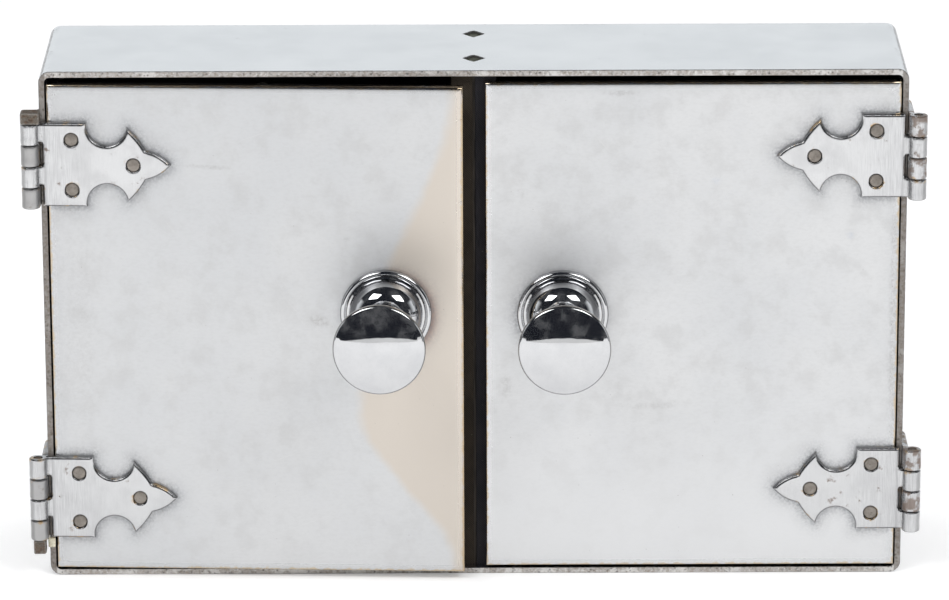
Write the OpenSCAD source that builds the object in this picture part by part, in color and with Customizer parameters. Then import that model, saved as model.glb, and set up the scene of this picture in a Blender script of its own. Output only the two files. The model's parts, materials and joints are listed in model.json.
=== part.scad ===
// Small two-door cabinet in plated sheet metal. The polished doors are the mirrors.
// Millimetres. +X is to the right, +Y is to the back, +Z is up.
// The origin is the centre of the underside of the case.

/* [Case] */
// Overall width of the case
case_w = 305; // [240:1:420]
// Overall height of the case
case_h = 186.8; // [150:1:300]
// Depth of the case, from its front edge to its back
case_d = 65; // [54:1:120]
// Thickness of the four case plates
plate_t = 2.1; // [1.5:0.1:3]
// Outer radius of the four long corners
corner_r = 4; // [3.5:0.1:8]
// Thickness of the sheet that closes the back
back_t = 1.2; // [0.8:0.1:2]

/* [Doors] */
// Gap between each door and its side plate
side_gap = 0.8; // [0.6:0.1:2]
// Gap between the two doors
centre_gap = 7.7; // [4:0.1:10]
// Gap over the doors
top_gap = 2.3; // [1:0.1:5]
// Gap under the doors
bottom_gap = 1; // [1:0.1:4]
// Depth of the folded door, from its face to the ends of its flanges
door_depth = 4.2; // [4:0.1:8]
// Thickness of the door sheet
door_t = 1.2; // [0.8:0.1:1.5]
// Outer radius of the door's folds
fold_r = 1.2; // [0.4:0.1:1.5]
// Length of the notch in the top flange at the free corner
flange_notch = 1; // [0.5:0.1:3]
// How far the door's face stands in front of the case's edge
door_proud = 0.3; // [0.2:0.1:1]
// How far the left door stands open, in degrees
ajar = 2.5; // [0:0.5:10]
// Gap between a closed door and the divider that stops it
stop_gap = 0.3; // [0.2:0.1:1]

/* [Divider] */
// Thickness of the divider's core
core_w = 14; // [12:0.5:24]
// Thickness of the cloth that covers the divider
cloth_t = 1; // [0.6:0.1:1.5]
// Width of the seam between the two cloths
seam_w = 0.8; // [0.4:0.1:2]
// Width of a lozenge-headed stud, along the case
stud_w = 7.4; // [5:0.1:9]
// Length of a lozenge-headed stud, front to back
stud_l = 9; // [6:0.1:12]
// Diameter of a stud's shank
stud_shank_d = 3; // [2:0.1:4]
// Length of a stud's shank in the core
stud_shank_l = 12; // [6:1:20]
// How far a stud's head lies below the plate's face
stud_sunk = 0.6; // [0.2:0.1:1]
// Distance of the front stud from the case's front edge
front_stud_y = 17; // [12:1:24]
// Distance from the front stud to the rear stud
stud_pitch = 34; // [16:1:34]

/* [Hinges] */
// Distance from the case's top or bottom to the middle of a hinge
hinge_inset = 31.7; // [24:0.1:45]
// How far both left hinges sit above that height
left_hinge_lift = -1.3; // [-2:0.1:2]
// How far both right hinges sit above that height
right_hinge_lift = 0.8; // [-2:0.1:2]
// Height of a hinge
hinge_h = 30.6; // [28:0.1:36]
// Thickness of a hinge leaf
leaf_t = 2.2; // [1.5:0.1:2.8]
// Diameter of the hinge barrel
barrel_d = 6.4; // [5.8:0.1:8]
// Diameter of the hinge pin
pin_d = 3.2; // [2:0.1:3.8]
// Clearance round the pin in the door leaf
pin_gap = 0.05; // [0.02:0.01:0.09]
// Gap between one knuckle and the next
knuckle_gap = 0.3; // [0.2:0.05:0.5]
// Distance from the barrel's surface to the start of the plain leaf
leaf_gap = 0.9; // [0.5:0.1:2]
// Length of the leaf's straight-edged part, from the barrel's axis
leaf_straight = 19.8; // [18:0.1:21]
// Distance from the barrel's axis to the middle of the scallops
scallop_u = 26.85; // [26:0.05:27.5]
// Radius of the scallops
scallop_r = 7.1; // [6.6:0.1:7.4]
// Distance from the scallops' centres to the leaf's centre line
scallop_v = 14.2; // [13.6:0.1:15]
// Distance from the barrel's axis to the barbs
barb_u = 33.9; // [33:0.1:35]
// Distance from the barbs' points to the leaf's centre line
barb_v = 13.5; // [12.5:0.1:14]
// Distance from the barrel's axis to the notches behind the tip
notch_u = 40.4; // [39.5:0.1:41.5]
// Distance from the notches to the leaf's centre line
notch_v = 5.4; // [4.8:0.1:6]
// Length of the leaf, from the barrel's axis to its tip
leaf_l = 49.4; // [47:0.1:52]
// Rise of the curve from barb to notch
barb_bulge = 0.45; // [0.2:0.05:1]
// Rise of the curve from notch to tip
tip_bulge = 0.9; // [0.4:0.05:1.5]

/* [Rivets] */
// Diameter of a rivet
rivet_d = 4.7; // [3.5:0.1:5]
// Clearance round a rivet
rivet_gap = 0.1; // [0.05:0.01:0.2]
// How far a rivet lies below the leaf's face
rivet_sunk = 0.4; // [0.2:0.05:0.8]
// Diameter of a rivet's peened tail
tail_d = 6.4; // [5.5:0.1:7.5]
// Height of a rivet's peened tail
tail_h = 0.9; // [0.6:0.1:1.2]
// Distance from the barrel's axis to the pair of rivets
rivet_pair_u = 14.4; // [13:0.1:16]
// Distance between the two rivets of the pair
rivet_pair_pitch = 18.2; // [16:0.1:20]
// Distance from the barrel's axis to the single rivet
rivet_single_u = 36.1; // [34:0.1:37]

/* [Pin heads] */
// Width of the upper left pin's head
upper_head_w = 7; // [5:0.1:7]
// Depth of the upper left pin's head
upper_head_d = 6; // [4:0.1:6]
// Height of the upper left pin's head
upper_head_h = 4.6; // [2:0.1:8]
// Width and depth of the lower left pin's head
lower_head_w = 4.8; // [4:0.1:6]
// Height of the lower left pin's head
lower_head_h = 5.5; // [2:0.1:8]
// Radius of the corners of the pins' heads
head_corner_r = 0.6; // [0.2:0.1:1]
// Width of the packing shim under the lower left hinge
shim_w = 2.8; // [2:0.1:3]
// Gap between the packing shim and the pin's head beside it
shim_gap = 0.2; // [0.1:0.05:0.4]
// Height of the packing shim
shim_h = 3.9; // [2:0.1:6]
// Thickness of the packing shim
shim_t = 1.8; // [1:0.1:2]

/* [Knobs] */
// Distance from a door's free edge to its knob
knob_inset = 27.4; // [20:0.1:40]
// Height of the left knob above the middle of its door
left_knob_rise = 7.1; // [-20:0.1:20]
// Height of the right knob above the middle of its door
right_knob_rise = 5; // [-20:0.1:20]
// Diameter of the knob's rose
rose_d = 32.5; // [28:0.5:40]
// Thickness of the rose's outer rim
rose_rim_h = 2.6; // [2:0.1:4]
// Diameter of the rose's domed middle
rose_dome_d = 26; // [22:0.5:27]
// Height of the rose, from the door's face
rose_h = 10; // [7:0.5:14]
// Diameter of the knob's stem at its narrowest
stem_d = 11; // [9:0.5:14]
// Length of the stem
stem_l = 28; // [20:0.5:36]
// Diameter of the knob's head
head_d = 32.4; // [28:0.1:40]
// Thickness of the head's rim
head_rim_h = 3; // [2:0.1:5]
// Height of the taper under the head's rim
head_taper_h = 3; // [1:0.1:5]
// Radius of the head's domed face
head_dome_r = 37; // [28:1:80]
// Diameter of the knob's screw
screw_d = 4; // [3:0.1:5]
// Clearance round the screw in the door and the rose
screw_gap = 0.15; // [0.05:0.05:0.3]
// Length of the screw in the stem
screw_grip = 10; // [6:0.5:16]
// Diameter of the screw's head
screw_head_d = 7.5; // [6:0.1:9]
// Height of the screw's head
screw_head_h = 1.7; // [1:0.1:1.8]
// Diameter of the screw's washer
washer_d = 12; // [10:0.5:16]
// Thickness of the screw's washer
washer_t = 0.8; // [0.5:0.1:0.8]

/* [Lining] */
// Thickness of the black cloth that lines the case and the doors
lining_t = 0.9; // [0.5:0.1:1]
// Gap between a lining and the edge or the fixing that it stops at
lining_gap = 0.4; // [0.2:0.1:1]

/* [Wall screws] */
// Distance between the two wall screw holes
wall_pitch = 152.4; // [80:0.1:200]
// Distance of the wall screw holes from the case's top
wall_drop = 26; // [15:1:60]
// Diameter of the wall screw holes
wall_hole_d = 5; // [3.5:0.1:6]
// Diameter of the holes in the lining, for the screws' heads
wall_head_d = 10; // [8:0.5:14]

/* [Hidden] */

$fn = 64;
cut = 1;                                  // how far a cutting shape runs past what it cuts
arc_steps = 8;                            // straight steps in a curved edge of a leaf
knuckles = 4;

front_y = -case_d / 2;
back_y = case_d / 2;
back_front_y = back_y - back_t;
inner_x = case_w / 2 - plate_t;
inner_r = corner_r - plate_t;
mitre = 2 * corner_r;                     // how far a corner's mitre reaches in

door_front_y = front_y - door_proud;
door_back_y = door_front_y + door_depth;
door_skin_y = door_front_y + door_t;      // inside face of the door sheet
door_w = (case_w - centre_gap) / 2 - plate_t - side_gap;
door_h = case_h - 2 * plate_t - top_gap - bottom_gap;
door_z = plate_t + bottom_gap;
door_free_x = centre_gap / 2;

cloth_y = door_back_y + stop_gap;
divider_w = core_w + 2 * cloth_t;

barrel_r = barrel_d / 2;
axis_x = case_w / 2 + barrel_r;           // both hinge axes, left and right of the case
axis_y = door_front_y - barrel_r;
knuckle_h = (hinge_h - (knuckles - 1) * knuckle_gap) / knuckles;
leaf_start = barrel_r + leaf_gap;
leaf_half = hinge_h / 2;
upper_hinge_z = case_h - hinge_inset;
lower_hinge_z = hinge_inset;
rivet_hole_d = rivet_d + 2 * rivet_gap;
tail_hole_d = tail_d + 2 * lining_gap;    // hole in a lining for a rivet's tail

knob_x = door_free_x + knob_inset;
door_mid_z = door_z + door_h / 2;
head_y = rose_h + stem_l;                 // distance from the door's face to the head

steel = [0.86, 0.87, 0.88];
polished = [0.92, 0.93, 0.94];
worn = [0.62, 0.56, 0.50];
cloth_black = [0.07, 0.07, 0.08];
cloth_brown = [0.12, 0.10, 0.08];
rivet_grey = [0.48, 0.44, 0.40];
rust = [0.38, 0.33, 0.28];
cream = [0.88, 0.86, 0.76];

// ---- shapes used by more than one piece ----

// A rectangle centred on the origin, with true round corners
module round_rect(w, h, r) {
    square([w - 2 * r, h], center = true);
    square([w, h - 2 * r], center = true);
    for (x = [-1, 1], z = [-1, 1])
        translate([x * (w / 2 - r), z * (h / 2 - r)]) circle(r);
}

// A flat outline in X and Z, drawn from y0 back to y1
module slab(y0, y1) {
    translate([0, y1, 0]) rotate([90, 0, 0]) linear_extrude(y1 - y0) children();
}

// A box given by its lowest and highest corners
module box(low, high) {
    translate(low) cube(high - low);
}

// A cylinder along Y, from y0 back to y1
module rod_y(x, z, y0, y1, d) {
    translate([x, y1, z]) rotate([90, 0, 0]) cylinder(d = d, h = y1 - y0);
}

// A cylinder along X, from x0 to x1
module rod_x(y, z, x0, x1, d) {
    translate([x0, y, z]) rotate([0, 90, 0]) cylinder(d = d, h = x1 - x0);
}

// ---- case ----

// The part of the case's rim that a mitred outline takes in
module mitred_plate() {
    slab(front_y, back_y) translate([0, case_h / 2]) intersection() {
        difference() {
            round_rect(case_w, case_h, corner_r);
            round_rect(2 * inner_x, case_h - 2 * plate_t, inner_r);
        }
        children();
    }
}

// A plate along the top; the bottom plate is the same plate turned over
module long_plate() {
    difference() {
        mitred_plate() polygon([[-case_w / 2, case_h / 2], [case_w / 2, case_h / 2],
                                [case_w / 2 - mitre, case_h / 2 - mitre],
                                [-case_w / 2 + mitre, case_h / 2 - mitre]]);
        for (y = stud_ys()) translate([0, y, case_h - plate_t - cut])
            linear_extrude(plate_t + 2 * cut) lozenge();
    }
}

function stud_ys() = [front_y + front_stud_y, front_y + front_stud_y + stud_pitch];

module lozenge() {
    polygon([[-stud_w / 2, 0], [0, -stud_l / 2], [stud_w / 2, 0], [0, stud_l / 2]]);
}

module flipped() {
    translate([0, 0, case_h]) mirror([0, 0, 1]) children();
}

module top_plate() {
    color(steel) long_plate();
}

module bottom_plate() {
    color(steel) flipped() long_plate();
}

// The left side plate, with the holes for both side leaves' rivets
module side_plate(lift) {
    difference() {
        mitred_plate() polygon([[-case_w / 2, -case_h / 2], [-case_w / 2, case_h / 2],
                                [-case_w / 2 + mitre, case_h / 2 - mitre],
                                [-case_w / 2 + mitre, -case_h / 2 + mitre]]);
        for (z = [lower_hinge_z, upper_hinge_z], p = rivet_places())
            rod_x(axis_y + p[0], z + lift + p[1], -case_w / 2 - cut, -inner_x + cut, rivet_hole_d);
    }
}

module left_side_plate() {
    color(steel) side_plate(left_hinge_lift);
}

module right_side_plate() {
    color(steel) mirror([1, 0, 0]) side_plate(right_hinge_lift);
}

module back_panel() {
    color(steel) difference() {
        slab(back_front_y, back_y)
            translate([0, case_h / 2]) round_rect(2 * inner_x, case_h - 2 * plate_t, inner_r);
        for (side = [-1, 1])
            rod_y(side * wall_pitch / 2, case_h - wall_drop, back_front_y - cut, back_y + cut, wall_hole_d);
    }
}

// ---- divider ----

module divider_core() {
    color(cloth_black) difference() {
        box([-core_w / 2, cloth_y + cloth_t, plate_t], [core_w / 2, back_front_y, case_h - plate_t]);
        for (y = stud_ys(), z = [plate_t - cut, case_h - plate_t - stud_shank_l])
            translate([0, y, z]) cylinder(d = stud_shank_d, h = stud_shank_l + cut);
    }
}

// Cloth over the left side and the left half of the front of the core
module divider_cloth() {
    box([-divider_w / 2, cloth_y, plate_t], [-core_w / 2, back_front_y, case_h - plate_t]);
    box([-divider_w / 2, cloth_y, plate_t], [-seam_w / 2, cloth_y + cloth_t, case_h - plate_t]);
}

module divider_left_cloth() {
    color(cloth_brown) divider_cloth();
}

module divider_right_cloth() {
    color(cloth_black) mirror([1, 0, 0]) divider_cloth();
}

// Lozenge heads in the top plate, with shanks in the core
module studs() {
    for (y = stud_ys()) translate([0, y, case_h - plate_t]) {
        linear_extrude(plate_t - stud_sunk) lozenge();
        translate([0, 0, -stud_shank_l]) cylinder(d = stud_shank_d, h = stud_shank_l);
    }
}

module divider_top_studs() {
    color(rivet_grey) studs();
}

module divider_bottom_studs() {
    color(rivet_grey) flipped() studs();
}

// ---- linings of the left compartment; the right ones mirror them ----

lining_front_y = door_back_y + 2 * lining_gap;
lining_back_y = back_front_y - lining_t;
lining_side_x = -inner_x + lining_t;
lining_edge_x = -inner_x + max(inner_r, lining_t) + lining_gap;
lining_core_x = -divider_w / 2;

module side_lining(lift) {
    color(cloth_black) difference() {
        box([-inner_x, lining_front_y, plate_t + inner_r + lining_gap],
            [lining_side_x, lining_back_y, case_h - plate_t - inner_r - lining_gap]);
        for (z = [lower_hinge_z, upper_hinge_z], p = rivet_places())
            rod_x(axis_y + p[0], z + lift + p[1], -inner_x - cut, lining_side_x + cut, tail_hole_d);
    }
}

module floor_lining() {
    color(cloth_black)
        box([lining_edge_x, lining_front_y, plate_t], [lining_core_x, lining_back_y, plate_t + lining_t]);
}

module back_lining() {
    color(cloth_black) difference() {
        box([lining_edge_x, lining_back_y, plate_t], [lining_core_x, back_front_y, case_h - plate_t]);
        rod_y(-wall_pitch / 2, case_h - wall_drop, lining_back_y - cut, back_front_y + cut, wall_head_d);
    }
}

module left_side_lining() side_lining(left_hinge_lift);
module left_floor_lining() floor_lining();
module left_ceiling_lining() flipped() floor_lining();
module left_back_lining() back_lining();
module right_side_lining() mirror([1, 0, 0]) side_lining(right_hinge_lift);
module right_floor_lining() mirror([1, 0, 0]) floor_lining();
module right_ceiling_lining() mirror([1, 0, 0]) flipped() floor_lining();
module right_back_lining() mirror([1, 0, 0]) back_lining();

// ---- doors ----

// A closed left door's place, turned about its hinge by the ajar angle
module on_left_door() {
    translate([-axis_x, axis_y, 0]) rotate([0, 0, -ajar]) translate([axis_x, -axis_y, 0]) children();
}

module on_right_door() {
    mirror([1, 0, 0]) children();
}

// A closed left door with every fold rounded: one outline seen from above, one from the side
module door_block() {
    intersection() {
        translate([-door_free_x - door_w / 2, door_front_y, door_z]) linear_extrude(door_h)
            folded_outline(door_w);
        translate([-door_free_x, door_front_y, door_z + door_h / 2]) rotate([0, -90, 0])
            linear_extrude(door_w) folded_outline(door_h);
    }
}

// Width along X, with the two front corners rounded
module folded_outline(w) {
    translate([-w / 2, fold_r]) square([w, door_depth - fold_r]);
    translate([-w / 2 + fold_r, 0]) square([w - 2 * fold_r, door_depth]);
    for (x = [-1, 1]) translate([x * (w / 2 - fold_r), fold_r]) circle(fold_r);
}

// The folded pan of a closed left door: a front sheet with a flange on each edge, and its knob at knob_z
module door_panel(lift, knob_z) {
    difference() {
        door_block();
        box([-door_free_x - door_w + door_t, door_skin_y, door_z + door_t],
            [-door_free_x - door_t, door_back_y + cut, door_z + door_h - door_t]);
        box([-door_free_x - flange_notch, door_skin_y, door_z + door_h - door_t],
            [-door_free_x + cut, door_back_y + cut, door_z + door_h + cut]);
        for (z = [lower_hinge_z, upper_hinge_z], p = rivet_places())
            rod_y(p[0] - axis_x, z + lift + p[1], door_front_y - cut, door_skin_y + cut, rivet_hole_d);
        rod_y(-knob_x, knob_z, door_front_y - cut, door_skin_y + cut, screw_d + 2 * screw_gap);
    }
}

module door_lining(lift, knob_z) {
    difference() {
        box([-door_free_x - door_w + door_t + lining_gap, door_skin_y, door_z + door_t + lining_gap],
            [-door_free_x - door_t - lining_gap, door_skin_y + lining_t,
             door_z + door_h - door_t - lining_gap]);
        for (z = [lower_hinge_z, upper_hinge_z], p = rivet_places())
            rod_y(p[0] - axis_x, z + lift + p[1],
                  door_skin_y - cut, door_skin_y + lining_t + cut, tail_hole_d);
        rod_y(-knob_x, knob_z, door_skin_y - cut, door_skin_y + lining_t + cut, washer_d + 2 * lining_gap);
    }
}

module left_door_panel() {
    color(polished) on_left_door() door_panel(left_hinge_lift, door_mid_z + left_knob_rise);
}

module left_door_lining() {
    color(cloth_black) on_left_door() door_lining(left_hinge_lift, door_mid_z + left_knob_rise);
}

module right_door_panel() {
    color(polished) on_right_door() door_panel(right_hinge_lift, door_mid_z + right_knob_rise);
}

module right_door_lining() {
    color(cloth_black) on_right_door() door_lining(right_hinge_lift, door_mid_z + right_knob_rise);
}

// ---- hinges ----
// A hinge is drawn about its own barrel: the axis is Z, the door leaf runs along +X
// with its back at y = barrel_r, and the side leaf runs along +Y with its back at x = barrel_r.

// Rivet centres: distance from the axis, height above the hinge's middle
function rivet_places() = [[rivet_pair_u, rivet_pair_pitch / 2],
                           [rivet_pair_u, -rivet_pair_pitch / 2],
                           [rivet_single_u, 0]];

// Points of a curve from a to b that bulges to its left by rise at its middle
function bulge(a, b, rise) = [
    for (i = [0 : arc_steps])
        let (t = i / arc_steps, side = [a[1] - b[1], b[0] - a[0]] / norm(b - a))
            a + (b - a) * t + side * rise * 4 * t * (1 - t)
];

// The upper half of a leaf's outline, from the barrel to the tip, before the scallop is cut
function leaf_half_outline() = concat(
    [[leaf_start, leaf_half], [leaf_straight, leaf_half], [leaf_straight, barb_v], [barb_u, barb_v]],
    bulge([barb_u, barb_v], [notch_u, notch_v], barb_bulge),
    bulge([notch_u, notch_v], [leaf_l, 0], tip_bulge)
);

function mirrored(points) = [for (i = [len(points) - 1 : -1 : 0]) [points[i][0], -points[i][1]]];

module leaf_outline() {
    difference() {
        polygon(concat(leaf_half_outline(), mirrored(leaf_half_outline())));
        for (v = [-1, 1]) translate([scallop_u, v * scallop_v]) circle(scallop_r);
        for (p = rivet_places()) translate(p) circle(d = rivet_hole_d);
    }
}

// Lowest point of knuckle i, counted from the top
function knuckle_z(i) = leaf_half - (i + 1) * knuckle_h - i * knuckle_gap;

// A leaf with the listed knuckles rolled on it, bored to bore_d
module hinge_leaf(own, bore_d) {
    difference() {
        union() {
            slab(barrel_r - leaf_t, barrel_r) leaf_outline();
            for (i = own) {
                translate([0, 0, knuckle_z(i)]) cylinder(d = barrel_d, h = knuckle_h);
                box([0, barrel_r - leaf_t, knuckle_z(i)],
                    [leaf_start + cut, barrel_r, knuckle_z(i) + knuckle_h]);
            }
        }
        translate([0, 0, -hinge_h]) cylinder(d = bore_d, h = 2 * hinge_h);
    }
}

// Along X to along Y
module to_side() {
    mirror([1, -1, 0]) children();
}

module door_leaf() {
    color(polished) hinge_leaf([0, 2], pin_d + 2 * pin_gap);
}

module side_leaf() {
    color(polished) to_side() hinge_leaf([1, 3], pin_d);
}

module pin() {
    translate([0, 0, -leaf_half]) cylinder(d = pin_d, h = hinge_h);
}

// A flat rivet through a leaf and a sheet of thickness sheet_t, with its tail behind it
module rivet(sheet_t) {
    rod_y(0, 0, barrel_r - leaf_t + rivet_sunk, barrel_r + sheet_t, rivet_d);
    translate([0, barrel_r + sheet_t, 0]) rotate([-90, 0, 0])
        cylinder(d1 = tail_d, d2 = tail_d - tail_h, h = tail_h);
}

module rivets(sheet_t) {
    color(rivet_grey) for (p = rivet_places()) translate([p[0], 0, p[1]]) rivet(sheet_t);
}

module at_left_hinge(z) {
    translate([-axis_x, axis_y, z + left_hinge_lift]) children();
}

// The right-hand hinges are the same hinges turned half a turn in the plane of the doors
module at_right_hinge(z) {
    translate([axis_x, axis_y, z + right_hinge_lift]) rotate([0, 180, 0]) children();
}

module upper_left_door_leaf() on_left_door() at_left_hinge(upper_hinge_z) door_leaf();
module upper_left_side_leaf() at_left_hinge(upper_hinge_z) side_leaf();
module upper_left_door_rivets() on_left_door() at_left_hinge(upper_hinge_z) rivets(door_t);
module upper_left_side_rivets() at_left_hinge(upper_hinge_z) to_side() rivets(plate_t);
module lower_left_door_leaf() on_left_door() at_left_hinge(lower_hinge_z) door_leaf();
module lower_left_side_leaf() at_left_hinge(lower_hinge_z) side_leaf();
module lower_left_door_rivets() on_left_door() at_left_hinge(lower_hinge_z) rivets(door_t);
module lower_left_side_rivets() at_left_hinge(lower_hinge_z) to_side() rivets(plate_t);
module upper_right_door_leaf() at_right_hinge(upper_hinge_z) door_leaf();
module upper_right_side_leaf() at_right_hinge(upper_hinge_z) side_leaf();
module upper_right_door_rivets() at_right_hinge(upper_hinge_z) rivets(door_t);
module upper_right_side_rivets() at_right_hinge(upper_hinge_z) to_side() rivets(plate_t);
module lower_right_door_leaf() at_right_hinge(lower_hinge_z) door_leaf();
module lower_right_side_leaf() at_right_hinge(lower_hinge_z) side_leaf();
module lower_right_door_rivets() at_right_hinge(lower_hinge_z) rivets(door_t);
module lower_right_side_rivets() at_right_hinge(lower_hinge_z) to_side() rivets(plate_t);

module upper_right_hinge_pin() color(worn) at_right_hinge(upper_hinge_z) pin();
module lower_right_hinge_pin() color(worn) at_right_hinge(lower_hinge_z) pin();

// A pin with a square head on its upper end
module upper_left_hinge_pin() {
    color(rust) at_left_hinge(upper_hinge_z) {
        pin();
        translate([upper_head_w / 2 - barrel_r, 0, leaf_half])
            linear_extrude(upper_head_h) round_rect(upper_head_w, upper_head_d, head_corner_r);
    }
}

// A pin with a square head on its lower end
module lower_left_hinge_pin() {
    color(rust) at_left_hinge(lower_hinge_z) {
        pin();
        translate([0, 0, -leaf_half - lower_head_h])
            linear_extrude(lower_head_h) round_rect(lower_head_w, lower_head_w, head_corner_r);
    }
}

// Packing on the case's front edge, just under the lower left hinge's door leaf and beside the pin's head
module lower_left_packing_shim() {
    color(cream) slab(front_y - shim_t, front_y)
        translate([lower_head_w / 2 + shim_gap + shim_w / 2 - axis_x,
                   lower_hinge_z + left_hinge_lift - leaf_half - knuckle_gap - shim_h / 2])
            round_rect(shim_w, shim_h, head_corner_r);
}

// ---- knobs ----
// A knob is drawn as a left knob: its axis is Z, and z = 0 is the door's face.

// Points of a quarter ellipse about centre, from angle a0 to a1
function arc(centre, rx, rz, a0, a1) = [
    for (i = [0 : arc_steps])
        let (a = a0 + (a1 - a0) * i / arc_steps)
            centre + [rx * cos(a), rz * sin(a)]
];

rim_edge_r = 1.2;                         // rounding of the rose's rim
head_edge_r = 1.3;                        // rounding of the head's front edge
rose_step = 0.5;                          // depth of the groove round the rose's dome
rose_neck_r = stem_d / 2 + 1.2;
stem_flare_r = stem_d / 2 + 3;
screw_bore_r = screw_d / 2 + screw_gap;
screw_slot_w = 0.9;                       // width of the slot in the screw's head
foot_step = 0.3;                          // step in at a rose's back edge and at a stem's foot
foot_h = 4;                               // height of the curve at a stem's foot
foot_arc_h = 3;
flare_h = 6;                              // height of the flare under a head
head_edge_end = 65;                       // angle at which the head's front edge meets its dome
dome_rim_r = head_d / 2 - head_edge_r;
dome_sag = head_dome_r - sqrt(pow(head_dome_r, 2) - pow(dome_rim_r, 2));

module at_knob() {
    translate([-knob_x, door_front_y, door_mid_z]) rotate([90, 0, 0]) children();
}
// A knob's place on its own door
module on_left_knob() {
    on_left_door() translate([0, 0, left_knob_rise]) children();
}
module on_right_knob() {
    on_right_door() translate([0, 0, right_knob_rise]) children();
}

module knob_rose() {
    dome_r = rose_dome_d / 2;
    color(polished) at_knob() rotate_extrude() polygon(concat(
        [[screw_bore_r, 0], [rose_d / 2 - foot_step, 0]],
        arc([rose_d / 2 - rim_edge_r, rose_rim_h - rim_edge_r], rim_edge_r, rim_edge_r, 0, 90),
        [[dome_r + rose_step, rose_rim_h], [dome_r + rose_step, rose_rim_h - rose_step],
         [dome_r, rose_rim_h - rose_step]],
        arc([rose_neck_r, rose_rim_h], dome_r - rose_neck_r, rose_h - rose_rim_h, 0, 90),
        [[screw_bore_r, rose_h]]
    ));
}

module knob_stem() {
    color(polished) at_knob() difference() {
        rotate_extrude() polygon(concat(
            [[0, rose_h], [rose_neck_r - foot_step, rose_h]],
            arc([rose_neck_r - foot_step, rose_h + foot_h],
                rose_neck_r - foot_step - stem_d / 2, foot_arc_h, -90, -180),
            arc([stem_flare_r, head_y - flare_h], stem_flare_r - stem_d / 2, flare_h, 180, 90),
            [[0, head_y]]
        ));
        translate([0, 0, rose_h - cut]) cylinder(d = screw_d, h = screw_grip + cut);
    }
}

module knob_head() {
    color(polished) at_knob() {
        translate([0, 0, head_y]) rotate_extrude() polygon(concat(
            [[0, 0], [stem_flare_r, 0], [head_d / 2 - head_edge_r, head_taper_h]],
            arc([dome_rim_r, head_taper_h + head_edge_r], head_edge_r, head_edge_r, -90, 0),
            arc([dome_rim_r, head_taper_h + head_rim_h - head_edge_r],
                head_edge_r, head_edge_r, 0, head_edge_end),
            [for (i = [1 : arc_steps]) let (r = dome_rim_r * (1 - i / arc_steps))
                [r, head_taper_h + head_rim_h + sqrt(pow(head_dome_r, 2) - r * r) - head_dome_r + dome_sag]]
        ));
    }
}

module knob_screw() {
    color(rivet_grey) at_knob() {
        translate([0, 0, -door_t - washer_t])
            cylinder(d = screw_d, h = door_t + washer_t + rose_h + screw_grip);
        translate([0, 0, -door_t - washer_t - screw_head_h]) difference() {
            cylinder(d1 = screw_head_d - screw_head_h, d2 = screw_head_d, h = screw_head_h);
            cube([screw_head_d + cut, screw_slot_w, screw_head_h], center = true);
        }
    }
}

module knob_washer() {
    color(rivet_grey) at_knob() translate([0, 0, -door_t - washer_t]) difference() {
        cylinder(d = washer_d, h = washer_t);
        translate([0, 0, -cut]) cylinder(r = screw_bore_r, h = washer_t + 2 * cut);
    }
}

module left_knob_rose() on_left_knob() knob_rose();
module left_knob_stem() on_left_knob() knob_stem();
module left_knob_head() on_left_knob() knob_head();
module left_knob_screw() on_left_knob() knob_screw();
module left_knob_washer() on_left_knob() knob_washer();
module right_knob_rose() on_right_knob() knob_rose();
module right_knob_stem() on_right_knob() knob_stem();
module right_knob_head() on_right_knob() knob_head();
module right_knob_screw() on_right_knob() knob_screw();
module right_knob_washer() on_right_knob() knob_washer();

top_plate();
bottom_plate();
left_side_plate();
right_side_plate();
back_panel();
divider_core();
divider_left_cloth();
divider_right_cloth();
divider_top_studs();
divider_bottom_studs();
left_side_lining();
left_floor_lining();
left_ceiling_lining();
left_back_lining();
right_side_lining();
right_floor_lining();
right_ceiling_lining();
right_back_lining();
left_door_panel();
left_door_lining();
right_door_panel();
right_door_lining();
upper_left_door_leaf();
upper_left_side_leaf();
upper_left_hinge_pin();
upper_left_door_rivets();
upper_left_side_rivets();
lower_left_door_leaf();
lower_left_side_leaf();
lower_left_hinge_pin();
lower_left_door_rivets();
lower_left_side_rivets();
lower_left_packing_shim();
upper_right_door_leaf();
upper_right_side_leaf();
upper_right_hinge_pin();
upper_right_door_rivets();
upper_right_side_rivets();
lower_right_door_leaf();
lower_right_side_leaf();
lower_right_hinge_pin();
lower_right_door_rivets();
lower_right_side_rivets();
left_knob_rose();
left_knob_stem();
left_knob_head();
left_knob_screw();
left_knob_washer();
right_knob_rose();
right_knob_stem();
right_knob_head();
right_knob_screw();
right_knob_washer();
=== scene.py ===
"""Looks of a small wall cabinet with two plated doors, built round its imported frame.

All shapes are drawn in millimetres and turned into metres when they become objects.
+X is to the right, +Y to the back and +Z up; the origin is the centre of the case's underside.
"""

import json
import logging
import math
from collections.abc import Callable, Sequence
from dataclasses import dataclass, field
from enum import Enum

import bpy
import numpy as np
from mathutils import Matrix, Vector, noise
from mathutils.geometry import delaunay_2d_cdt


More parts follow.
